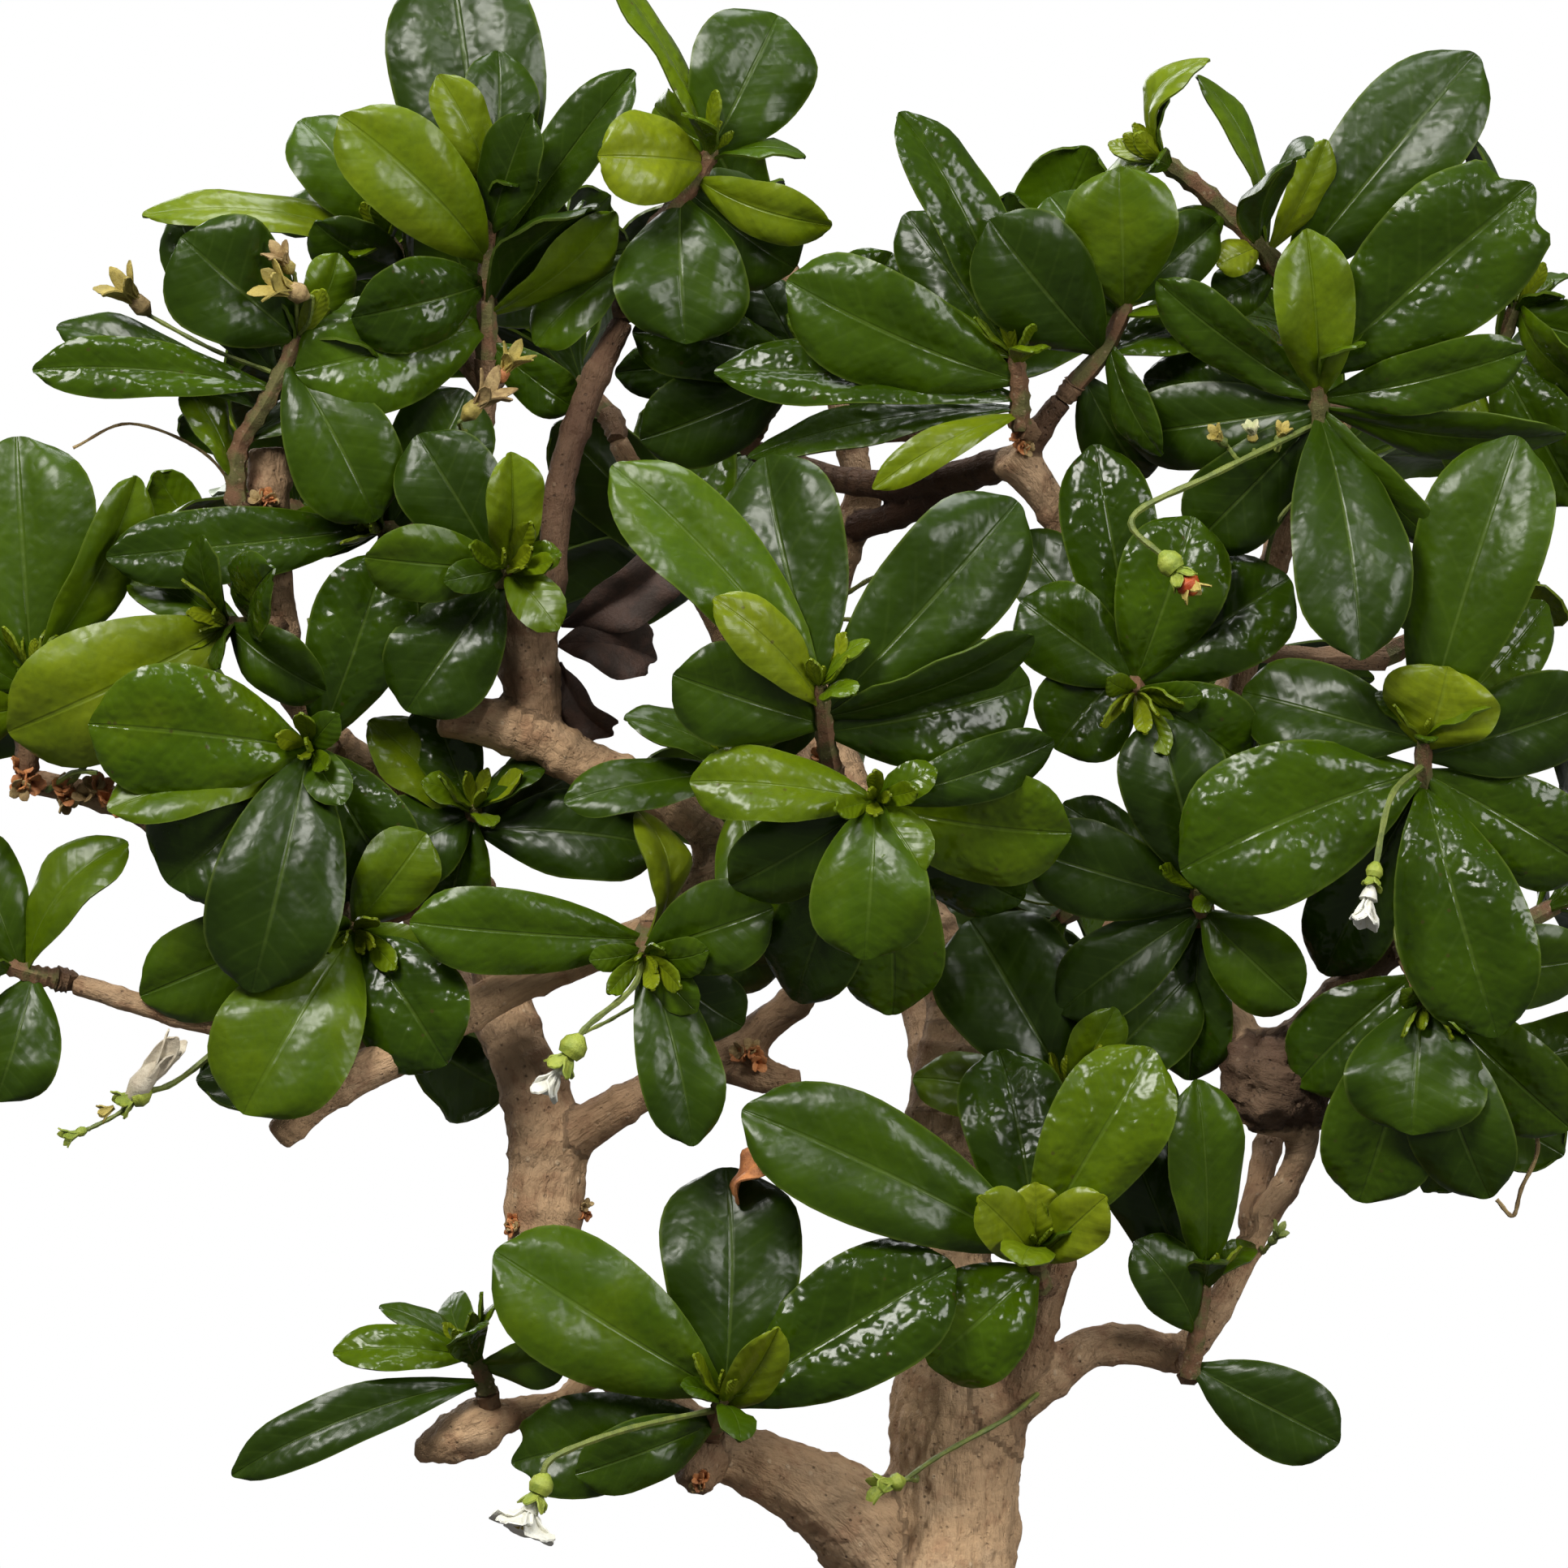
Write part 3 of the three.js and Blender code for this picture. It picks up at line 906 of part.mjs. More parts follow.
// The first bend that is clear of all that stands, and if it can be of the spray's own leaves
function placeLeaf(leaf, ownLeaves) {
  let fallback = null;
  for (const bend of bends) {
    const trial = bent(leaf, bend);
    if (trial.byRule && hidesOpening(trial)) continue;
    if (!isClear(leafSolid(trial, clearance))) continue;
    const placed = { solid: leafSolid(trial), bladeOnly: leafSolid(trial, 0, bladeFrom) };
    const crosses = ownLeaves.some((own) => {
      return meet(own.bladeOnly, placed.solid) || meet(placed.bladeOnly, own.solid);
    });
    if (!crosses) return placed;
    if (!trial.byRule) fallback = fallback ?? placed;
  }
  return fallback;
}

// Wood: every limb, the roots, and a twig that leads to each spray

const stems = Object.entries(frontSprays).map(([name, spray]) => ({
  name,
  stem: spray.stem.map(seen),
  rows: spray.leaves,
  extra: spray.extra,
}));
hiddenSprays.forEach(([foot, end, count], i) => {
  const name = `back${String(i + 1).padStart(2, "0")}`;
  stems.push({ name, stem: [seen(foot), seen(end)], rows: [], extra: count });
});

const woodLine = Object.values(limbs).flatMap((rows) => {
  const spots = rows.map(seen);
  const steps = 6;
  return spots.slice(1).flatMap((spot, i) =>
    Array.from({ length: steps }, (_, k) => spots[i].clone().lerp(spot, (k + 1) / steps)));
});

// A straight twig runs from the nearest wood to the spray's foot
stems.forEach((spray) => {
  const foot = spray.stem[0];
  const gaps = woodLine.map((spot) => spot.distanceTo(foot));
  spray.from = woodLine[gaps.indexOf(Math.min(...gaps))];
  spray.way = foot.clone().sub(spray.from).normalize();
  spray.joint = spray.stem[1].clone().sub(foot).normalize().add(spray.way).normalize();
});

function twigSolid({ stem, from, way, joint }) {
  const end = stem[0].clone().addScaledVector(way, -clearance / way.dot(joint));
  return limbSolid([from, end], [twig.start, twig.end], twig.sides, way, joint);
}

const wood = mainBody(joined([
  ...Object.values(limbs).map((rows) => limbFrom(rows)),
  ...rootSolids(),
  ...stems.map(twigSolid),
]));
addNode("trunk_and_branches", wood, materials.bark);
takeRoom(wood);

// Stems and stalks take their room first, so that no leaf runs through them

function stemSolid({ stem, joint }) {
  const radii = stem.map((_, i) => {
    return THREE.MathUtils.lerp(blade.stemStart, blade.stemEnd, i / (stem.length - 1));
  });
  return limbSolid(stem, radii, blade.stemSides, joint);
}

function stalkSolid([, rows, cup]) {
  const spots = rows.map(seen);
  const stalk = limbSolid(spots, spots.map(() => stalkRadius), 3);
  const end = spots[spots.length - 1];
  const way = end.clone().sub(spots[spots.length - 2]).normalize();
  const lip = end.clone().addScaledVector(way, cupLip);
  const foot = end.clone().addScaledVector(way, -cupLip);
  return stalk.add(limbSolid([foot, lip], [stalkRadius * 1.3, cup], 5));
}

// White flowers: five rounded petals over a short throat, held just off the cup

function flowerSolid([, rows]) {
  const spots = rows.map(seen);
  const end = spots[spots.length - 1];
  const way = end.clone().sub(spots[spots.length - 2]).normalize();
  const { petal, halfTurn, notch, cup, thick, throat } = flowerSize;
  const rim = [];
  for (let i = 0; i < 5; i += 1) {
    const angle = (2 * Math.PI * i) / 5;
    rim.push([angle - halfTurn, petal], [angle + halfTurn, petal], [angle + Math.PI / 5, notch]);
  }
  const positions = [0, 0, -throat, 0, 0, thick];
  rim.forEach(([angle, radius]) => {
    const [x, y, z] = [radius * Math.cos(angle), radius * Math.sin(angle), radius * cup];
    positions.push(x, y, z, x, y, z + thick);
  });
  const triangles = rim.flatMap((_, i) => {
    const low = 2 + 2 * i;
    const next = 2 + 2 * ((i + 1) % rim.length);
    return [[0, next, low], [1, low + 1, next + 1], [low, next, next + 1], [low, next + 1, low + 1]];
  });
  const turn = new THREE.Quaternion().setFromUnitVectors(new THREE.Vector3(0, 0, 1), way);
  const seat = end.clone().addScaledVector(way, cupLip + throat + clearance);
  const place = new THREE.Matrix4().compose(seat, turn, new THREE.Vector3(1, 1, 1));
  return solidFrom(positions, triangles).transform(place.toArray());
}

flowersAt.forEach((index, i) => {
  const blossom = flowerSolid(stalks[index]);
  addNode(`flower_${i + 1}`, blossom, materials.petal);
  takeRoom(blossom);
});

stems.forEach((spray) => {
  const own = stalks.filter(([name]) => name === spray.name).map(stalkSolid);
  spray.core = joined([stemSolid(spray), ...own]);
});

// Each spray: its stem, the leaves that the front shows and the ones set by rule
let seed = 11;
stems.forEach((spray) => {
  seed += 7;
  const random = seeded(seed);
  const others = stems.filter((other) => other !== spray && !other.done);
  const kept = taken.length;
  others.forEach((other) => takeRoom(other.core));
  const wanted = spray.rows.map((row) => leafFromRow(spray.stem, row, random));
  wanted.push(...leavesByRule(spray.stem, spray.extra, random));
  const leaves = [];
  let tones = 0;
  wanted.forEach((leaf) => {
    const placed = placeLeaf(leaf, leaves);
    if (!placed) return;
    leaves.push(placed);
    tones += leaf.tone;
  });
  taken.length = kept;
  const body = mainBody(joined([spray.core, ...leaves.map((placed) => placed.solid)]));
  const color = matureGreen.clone().lerp(youngGreen, tones / Math.max(leaves.length, 1));
  addNode(`spray_${spray.name}`, body, matte(color, 0.4));
  takeRoom(body);
  spray.done = true;
});

// Pot: an oval of revolution scaled across, with a plinth, a rim band and two drain holes

function ovalSolid(profile, scaleAcross, segments) {
  const points = profile.map(([radius, height]) => new THREE.Vector2(radius, height));
  const lathe = new THREE.LatheGeometry(points, segments);
  const upright = new THREE.Matrix4().makeRotationX(Math.PI / 2);
  const flatten = new THREE.Matrix4().makeScale(1, scaleAcross, 1);
  return solidOf(lathe, flatten.multiply(upright));
}

const half = pot.length / 2;
const squash = pot.width / pot.length;
const bodyTop = pot.height - pot.rimDrop;
const inner = half - pot.wall;
const potBody = ovalSolid([
  [0, 0], [half * 0.78, 0], [half * 0.78, pot.plinth], [half * 0.84, pot.plinth + 1],
  [half * 0.9, bodyTop * 0.55], [half * 0.93, bodyTop], [half, bodyTop + 1.5], [half, pot.height],
  [inner, pot.height], [inner * 0.97, bodyTop * 0.7], [inner * 0.84, pot.floor], [0, pot.floor],
], squash, ovalSteps.pot);

function drainHole(side) {
  const hole = new THREE.CylinderGeometry(drain.radius, drain.radius, pot.floor * 4, 14);
  const upright = new THREE.Matrix4().makeRotationX(Math.PI / 2);
  const move = new THREE.Matrix4().makeTranslation(side * drain.spread, 0, 0);
  return solidOf(hole, move.multiply(upright));
}

addNode("pot", joined([potBody]).subtract(drainHole(-1)).subtract(drainHole(1)), materials.glaze);

// A square net of plastic lies over each drain hole, on the pot's floor

function screenSolid(side) {
  const plate = new THREE.BoxGeometry(drain.screenSide, drain.screenSide, drain.screenThick);
  const slot = new THREE.BoxGeometry(drain.slot, drain.slot, drain.screenThick * 3);
  const step = drain.screenSide / 4;
  let net = solidOf(plate);
  [-1, 1].forEach((column) => {
    [-1, 1].forEach((row) => {
      const move = new THREE.Matrix4().makeTranslation(column * step, row * step, 0);
      net = net.subtract(solidOf(slot, move));
    });
  });
  const middle = pot.floor + clearance + drain.screenThick / 2;
  return net.translate(side * drain.spread, 0, middle);
}

addNode("drain_screen_left", screenSolid(-1), materials.screen);
addNode("drain_screen_right", screenSolid(1), materials.screen);

// Soil: it fills the pot to a low mound, with a plain hole for the trunk's base and roots

const soilEdge = inner * 0.975 - clearance * 2;
const soilBottom = pot.floor + clearance;
const soilFit = 0.993;
const mound = ovalSolid([
  [0, soilBottom], [inner * 0.8, soilBottom], [inner * 0.96 - 1, bodyTop * 0.7],
  [soilEdge, soil.edge], [soilEdge * 0.6, soil.crown - 1], [0, soil.crown],
], squash * soilFit, ovalSteps.soil);
const pocketSide = drain.screenSide + 2 * clearance;
const pockets = [-1, 1].map((side) => {
  const top = soilBottom + drain.screenThick + clearance;
  const depth = 2 * (top - pot.floor);
  const block = new THREE.BoxGeometry(pocketSide, pocketSide, depth);
  return solidOf(block, new THREE.Matrix4().makeTranslation(side * drain.spread, 0, top - depth / 2));
});
const rootHole = joined([limbFrom(limbs.trunk.slice(0, 6), clearance), ...rootSolids(clearance)]);
const socket = limbFrom([[105, 0, -109, 7], [105, 0, -106, 8]], clearance);
const soilBody = [...pockets, rootHole, socket].reduce((rest, cut) => rest.subtract(cut), mound);
addNode("soil", mainBody(soilBody), materials.soil);

export default group;
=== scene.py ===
import math

import bpy
import numpy as np
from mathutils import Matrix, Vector, kdtree, noise


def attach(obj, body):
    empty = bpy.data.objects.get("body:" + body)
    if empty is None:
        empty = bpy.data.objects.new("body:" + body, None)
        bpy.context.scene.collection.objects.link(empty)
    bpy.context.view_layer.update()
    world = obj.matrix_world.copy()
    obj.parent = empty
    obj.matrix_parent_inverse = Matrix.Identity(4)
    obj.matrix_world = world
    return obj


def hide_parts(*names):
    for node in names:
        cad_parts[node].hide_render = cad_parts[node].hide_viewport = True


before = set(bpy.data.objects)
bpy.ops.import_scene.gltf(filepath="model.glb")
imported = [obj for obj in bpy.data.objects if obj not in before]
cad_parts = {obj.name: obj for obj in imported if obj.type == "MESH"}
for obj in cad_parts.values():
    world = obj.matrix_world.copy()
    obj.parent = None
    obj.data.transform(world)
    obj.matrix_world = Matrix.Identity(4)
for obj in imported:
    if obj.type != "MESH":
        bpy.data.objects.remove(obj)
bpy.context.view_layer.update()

mm = 0.001
clearance = 0.3  # between neighbouring solids, in millimetres
toViewer = np.array([0, -1, 0])
bpy.ops.object.select_all(action="DESELECT")
print("frame loaded:", len(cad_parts), "nodes")

# The view that the crown was laid out from, in millimetres
photo = {"distance": 3000, "centre": 96.6, "foot": 130, "potAcross": 100, "width": 193.2, "sensor": 36}


def seen(spot):
    across, depth, up = spot[:3]
    near = (photo["distance"] - depth) / photo["distance"]
    x = photo["centre"] - photo["potAcross"] + (across - photo["centre"]) * near
    z = photo["foot"] + photo["centre"] + (up - photo["centre"]) * near
    return np.array([x, -depth, z])


def seenAll(rows):
    return [seen(row) for row in rows]


def asSeen(spot):
    near = (photo["distance"] + spot[1]) / photo["distance"]
    across = photo["centre"] + (spot[0] - photo["centre"] + photo["potAcross"]) / near
    up = photo["centre"] + (spot[2] - photo["foot"] - photo["centre"]) / near
    return across, up


# Draws from 0 to 1, the same ones for the same seed
def drawFrom(seed):
    state = seed
    low = 0xffffffff

    def draw():
        nonlocal state
        state = (state + 0x6d2b79f5) & low
        mixed = ((state ^ state >> 15) * (1 | state)) & low
        mixed = ((mixed + (mixed ^ mixed >> 7) * (61 | mixed)) & low) ^ mixed
        return (mixed ^ mixed >> 14) / (low + 1)

    return draw


# A draw from a span, given as its low end and its width
def within(draw, span):
    return span[0] + span[1] * draw()


def unit(v):
    return v / np.linalg.norm(v)


def turned(v, axis, angle):
    return (v * math.cos(angle) + np.cross(axis, v) * math.sin(angle)
            + axis * np.dot(axis, v) * (1 - math.cos(angle)))


# A direction square to the given one
def sideOf(way):
    return unit(np.cross([0.3, 0.2, 1], way))


# A smooth run of points through the given ones, as many steps between each two
def smoothRun(rows, steps):
    rows = np.asarray(rows, float)
    padded = np.vstack([2 * rows[0] - rows[1], rows, 2 * rows[-1] - rows[-2]])
    run = []
    for i in range(1, len(padded) - 2):
        a, b, c, d = padded[i - 1:i + 3]
        for k in range(steps):
            t = k / steps
            run.append(0.5 * (2 * b + (c - a) * t + (2 * a - 5 * b + 4 * c - d) * t * t
                              + (3 * b - a - 3 * c + d) * t ** 3))
    run.append(rows[-1])
    return np.array(run)


def treeOf(spots):
    tree = kdtree.KDTree(len(spots))
    for i, spot in enumerate(spots):
        tree.insert(spot, i)
    tree.balance()
    return tree


# Objects

def pick(obj):
    bpy.ops.object.select_all(action="DESELECT")
    obj.select_set(True)
    bpy.context.view_layer.objects.active = obj


def picked():
    return bpy.context.view_layer.objects.active


def newObject(name, data):
    obj = bpy.data.objects.new(name, data)
    bpy.context.scene.collection.objects.link(obj)
    return obj


def newMesh(name, spots, edges, faces):
    mesh = bpy.data.meshes.new(name)
    mesh.from_pydata(spots, edges, faces)
    return newObject(name, mesh)


def joinAll(objects, name):
    pick(objects[0])
    for obj in objects:
        obj.select_set(True)
    if len(objects) > 1:
        bpy.ops.object.join()
    picked().name = name
    return picked()


def useModifier(obj, kind, **settings):
    pick(obj)
    modifier = obj.modifiers.new(kind.title(), kind)
    for key, value in settings.items():
        setattr(modifier, key, value)
    bpy.ops.object.modifier_apply(modifier=modifier.name)


def settle(obj, *finishes):
    obj.data.materials.clear()
    for finish in finishes:
        obj.data.materials.append(finish)


# One piece from its parts, smooth up to an angle, and what the frame has to know of it
def pieceOf(parts, name, node=None, smooth=50):
    piece = joinAll(parts, name)
    pick(piece)
    bpy.ops.object.shade_smooth_by_angle(angle=math.radians(smooth))
    if node:
        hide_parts(node)
    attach(piece, "root")
    return piece


def pointsOf(mesh):
    co = np.empty(len(mesh.vertices) * 3)
    mesh.vertices.foreach_get("co", co)
    return co.reshape(-1, 3)


def setPoints(mesh, co):
    mesh.vertices.foreach_set("co", np.asarray(co, np.float32).ravel())
    mesh.update()


# Each value is one number for the whole mesh, or a number or a vector for each of its points
def setNotes(obj, **notes):
    mesh = obj.data
    for name, values in notes.items():
        values = np.asarray(values, np.float32)
        if values.ndim == 0:
            values = np.full(len(mesh.vertices), values)
        kind, key = ("FLOAT_VECTOR", "vector") if values.ndim == 2 else ("FLOAT", "value")
        layer = mesh.attributes.get(name) or mesh.attributes.new(name, kind, "POINT")
        layer.data.foreach_set(key, values.ravel())


# A round tube along points in millimetres, with a radius at each
def tube(points, radii, name, sides=8):
    curve = bpy.data.curves.new(name, "CURVE")
    curve.dimensions = "3D"
    curve.bevel_depth = mm
    curve.bevel_resolution = max(sides // 4 - 1, 0)
    curve.use_fill_caps = True
    spline = curve.splines.new("POLY")
    spline.points.add(len(points) - 1)
    for spot, point, radius in zip(spline.points, points, radii):
        spot.co = (*(np.asarray(point) * mm), 1)
        spot.radius = radius
    pick(newObject(name, curve))
    bpy.ops.object.convert(target="MESH")
    return picked()


# Shader boards: a wire is a socket that adds its own maths nodes

class Wire:
    def __init__(self, board, socket):
        self.board = board
        self.socket = socket

    def __add__(self, other):
        return self.board.maths("ADD", self, other)

    def __sub__(self, other):
        return self.board.maths("SUBTRACT", self, other)

    def __rsub__(self, other):
        return self.board.maths("SUBTRACT", other, self)

    def __mul__(self, other):
        return self.board.maths("MULTIPLY", self, other)

    __radd__ = __add__
    __rmul__ = __mul__


class Board:
    def __init__(self, name):
        self.material = bpy.data.materials.new(name)
        self.material.use_nodes = True
        self.tree = self.material.node_tree
        self.shader = self.tree.nodes["Principled BSDF"]

    def plug(self, socket, value):
        if isinstance(value, Wire):
            self.tree.links.new(value.socket, socket)
        elif socket.type == "RGBA":
            socket.default_value = (*value, 1)
        else:
            socket.default_value = value

    def put(self, kind, settings=None, sockets=None, out=0):
        node = self.tree.nodes.new("ShaderNode" + kind)
        for key, value in (settings or {}).items():
            setattr(node, key, value)
        for key, value in (sockets or {}).items():
            self.plug(node.inputs[key], value)
        return Wire(self, node.outputs[out])

    def maths(self, operation, *values):
        return self.put("Math", {"operation": operation}, dict(enumerate(values)))

    def soft(self, value, low, high):  # smooth step from low to high
        return self.put("MapRange", {"interpolation_type": "SMOOTHSTEP"}, {0: value, 1: low, 2: high})

    def mix(self, factor, a, b):
        return self.put("Mix", {"data_type": "RGBA"}, {0: factor, 6: a, 7: b}, out=2)

    def ramp(self, value, stops):
        wire = self.put("ValToRGB", {}, {0: value})
        elements = wire.socket.node.color_ramp.elements
        while len(elements) < len(stops):
            elements.new(0.5)
        for element, (at, colour) in zip(elements, stops):
            element.position = at
            element.color = (*colour, 1)
        return wire

    def parts(self, vector):
        node = self.put("SeparateXYZ", {}, {0: vector}).socket.node
        return [Wire(self, node.outputs[i]) for i in range(3)]

    def stretch(self, vector, scale):
        return self.put("VectorMath", {"operation": "MULTIPLY"}, {0: vector, 1: scale})

    def place(self):  # on the piece, in millimetres
        return self.stretch(self.put("TexCoord", out="Object"), (1 / mm, 1 / mm, 1 / mm))

    def grain(self, vector, scale, detail=3, rough=0.55):
        sockets = {"Vector": vector, "Scale": scale, "Detail": detail, "Roughness": rough}
        return self.put("TexNoise", {}, sockets)

    def dots(self, vector, scale, inner, outer):  # 1 inside soft round dots
        cells = self.put("TexVoronoi", {}, {"Vector": vector, "Scale": scale})
        return 1 - self.soft(cells, inner, outer)

    def note(self, name, out="Fac"):
        return self.put("Attribute", {"attribute_name": name}, out=out)

    def bump(self, height, strength, distance, under=None):
        sockets = {"Height": height, "Strength": strength, "Distance": distance * mm}
        if under:
            sockets["Normal"] = under
        return self.put("Bump", {}, sockets)

    def finish(self, **sockets):
        for key, value in sockets.items():
            self.plug(self.shader.inputs[key.replace("_", " ")], value)
        return self.material


# Wood, each point as across, depth towards the viewer, up and radius
limbs = {
    "trunk": [
        [105, 0, -108, 7], [105, 0, -96, 11], [105, 0, -84, 14], [105.5, 0, -73, 14], [107, 0, -60, 12],
        [109.5, 1, -43, 10.8], [113, 2, -24, 10], [116, 2, -6, 9.2], [117.3, 1, 8, 8.6],
        [118.1, 0, 18, 8.5], [118, -2, 27, 7.4], [117, -5, 38, 5.6], [115.6, -8, 54, 4.4],
        [117.6, -11, 70, 3.7], [113, -13, 81, 3.4], [104, -16, 97, 3.1], [100.6, -19, 112, 2.8],
        [103.6, -21, 125, 2.5], [107, -21, 134, 2.2]],
    "leftLimb": [
        [113, 0, -5, 7], [106, 3, 5, 6.8], [99.5, 6, 9.8, 5.3], [93, 8, 12.8, 4.2], [87, 9, 15.5, 3.6],
        [80, 8, 21, 3.2], [73.5, 7, 27, 3.2], [68, 6, 34, 3.5], [66.8, 5, 42, 4.9], [67.5, 4, 51, 5],
        [66, 3, 58, 4.5], [63, 2, 66, 3.8], [60.5, -1, 76, 3.2], [57, -3, 86, 2.7], [50, -1, 96, 2.3],
        [41, 2, 102, 2.2], [36, 4, 109, 2.3], [34.2, 6, 120, 2.2], [33.3, 6, 131, 2.6], [33, 6, 138, 2.8]],
    "cutKnob": [[88, 9, 16, 3], [86, 13, 11.5, 2.9], [85.4, 14, 9.6, 2.2]],
    "sideBranch": [
        [67.5, 4, 51, 3.6], [74, 6, 55.5, 2.8], [82, 7, 60, 2.4], [89.5, 7, 63, 3.2], [94, 8, 66.6, 2.4],
        [99.4, 11, 72, 2.1], [101, 19, 83, 1.9], [102.5, 26, 93, 1.8]],
    "sideKnob": [[89, 7, 63, 2.6], [94, 8, 60.6, 2.3], [98.4, 9, 60.2, 1.7]],
    "crossing": [
        [34, 16, 53, 2.1], [41, 16, 59, 2.6], [50, 15, 64, 2.8], [60, 13, 70, 2.6], [72, 12, 75.4, 2.5],
        [81.4, 11, 79.4, 2.2], [86.6, 11, 84.6, 2.2], [87, 11, 90.6, 2.6], [80.6, 11, 95.4, 2.9],
        [72, 10, 99, 3.2], [64.5, 10, 103, 3.4], [54.3, 11, 105.3, 2.7]],
    "crossingLink": [[86, 11, 88, 2.5], [94, 7, 83.5, 2.3], [103, -3, 82, 2.4], [112, -12, 80, 3]],
    "fork": [[67, 9, 100, 3.4], [65.5, 9, 109, 3.6], [64.3, 9, 117, 4.1], [63.4, 9, 120, 2.6]],
    "forkLeft": [[64, 9, 114, 3.2], [60.5, 6, 122, 2.5], [58.3, 4, 133, 1.8], [60, 4, 145, 1.5]],
    "redStem": [
        [65.5, 9, 112, 2.8], [67.8, 9, 121, 2.1], [69, 8, 133, 1.9], [72.2, 6, 144, 1.9],
        [76.8, 4, 153.6, 1.6]],
    "rightLimb": [
        [119, 0, 18, 4.6], [127.5, 2, 22.4, 3.3], [134, 2, 27, 2.6], [140, 1, 27.4, 2.6],
        [145.5, 1, 26.6, 2.4], [150, 1, 32, 2], [154.6, 1, 41, 1.8], [160.2, 2, 51, 2], [159.4, 3, 58, 3.3]],
    "burl": [[151, 3, 61, 3.6], [154.5, 3, 60.5, 6.4], [159, 3, 59.5, 6.9], [163.4, 3, 58.5, 3.6]],
    "rightUpper": [
        [158, 3, 62, 3.6], [164.6, 4, 69.4, 2.9], [171.8, 5, 77.7, 2.4], [178, 6, 86, 2.2], [184, 8, 94, 3]],
    "tanBranch": [
        [153, 2, 63, 3.2], [149, 0, 74, 2.3], [146, -3, 88, 2], [142, -2, 103, 1.9], [138, 2, 115.5, 1.7],
        [133.5, 3, 123, 2], [129.5, 4, 131, 2.3], [124.6, 5, 137.3, 3]],
    "brownBack": [[125, 4, 136.5, 2.2], [115, -5, 134, 1.9], [104, -16, 134, 1.8], [92, -12, 138, 1.4]],
    "brownLow": [[122, 2, 136, 1.8], [114, -8, 131, 1.7], [105, -20, 128, 1.8]],
    "darkStem": [[126, 5, 137, 2], [128.6, 6, 141, 1.6], [131, 7, 144, 1.5]],
    "rightRise": [
        [146, -3, 88, 1.9], [151.5, -3, 102, 1.8], [155, 0, 118, 1.8], [160, 4, 131, 2],
        [164, 7, 138.5, 3.2]],
    "topRight": [[163, 6, 138, 2], [161.5, 1, 148, 1.5], [160, -1, 153, 1.4]],
    "innerRise": [[125, 2, 20, 3], [128, 5, 29, 2.1], [130.9, 6, 38, 1.8], [132.6, 5, 47, 1.5]],
    "leftSpur": [
        [74, 7, 27, 2.2], [70.5, 10, 21.5, 1.5], [64, 14, 19.2, 1.9], [58.5, 16, 17.2, 3.6],
        [54.5, 16, 15.4, 3], [51.4, 16, 14.2, 1]],
    "leftTwig": [[50, 14, 64, 1.8], [41, 10, 65.8, 1.5], [26, 7, 67.2, 1.6], [9, 6, 72, 1.4]],
    "leftUpper": [
        [57, -3, 86, 2], [46, 0, 80, 1.8], [33, 4, 79, 1.6], [22.6, 6, 86.5, 1.6], [18.5, 7, 92.6, 1.9],
        [10, 7, 95.6, 1.8], [3.4, 7, 97, 1.7]],
    "backLeft": [
        [63, 1, 64, 3.2], [58, -15, 72, 2.8], [51, -31, 82, 2.4], [42, -43, 97, 2], [34, -47, 116, 1.6]],
    "backMiddle": [
        [117, -4, 30, 4.2], [116, -21, 47, 3.6], [114, -36, 68, 3], [104, -46, 90, 2.4],
        [90, -52, 114, 1.9], [76, -47, 139, 1.5]],
    "backRight": [
        [116.5, -7, 42, 3.6], [128, -24, 60, 3], [140, -39, 82, 2.5], [150, -46, 104, 2.1],
        [158, -44, 128, 1.6]],
    "backTop": [[107, -20, 128, 2.1], [103, -30, 146, 1.8], [98, -34, 158, 1.4]],
    "rightSide": [[154, 1, 42, 1.9], [158, -10, 56, 1.8], [170, -22, 65, 1.7], [184, -28, 78, 1.5]],
}

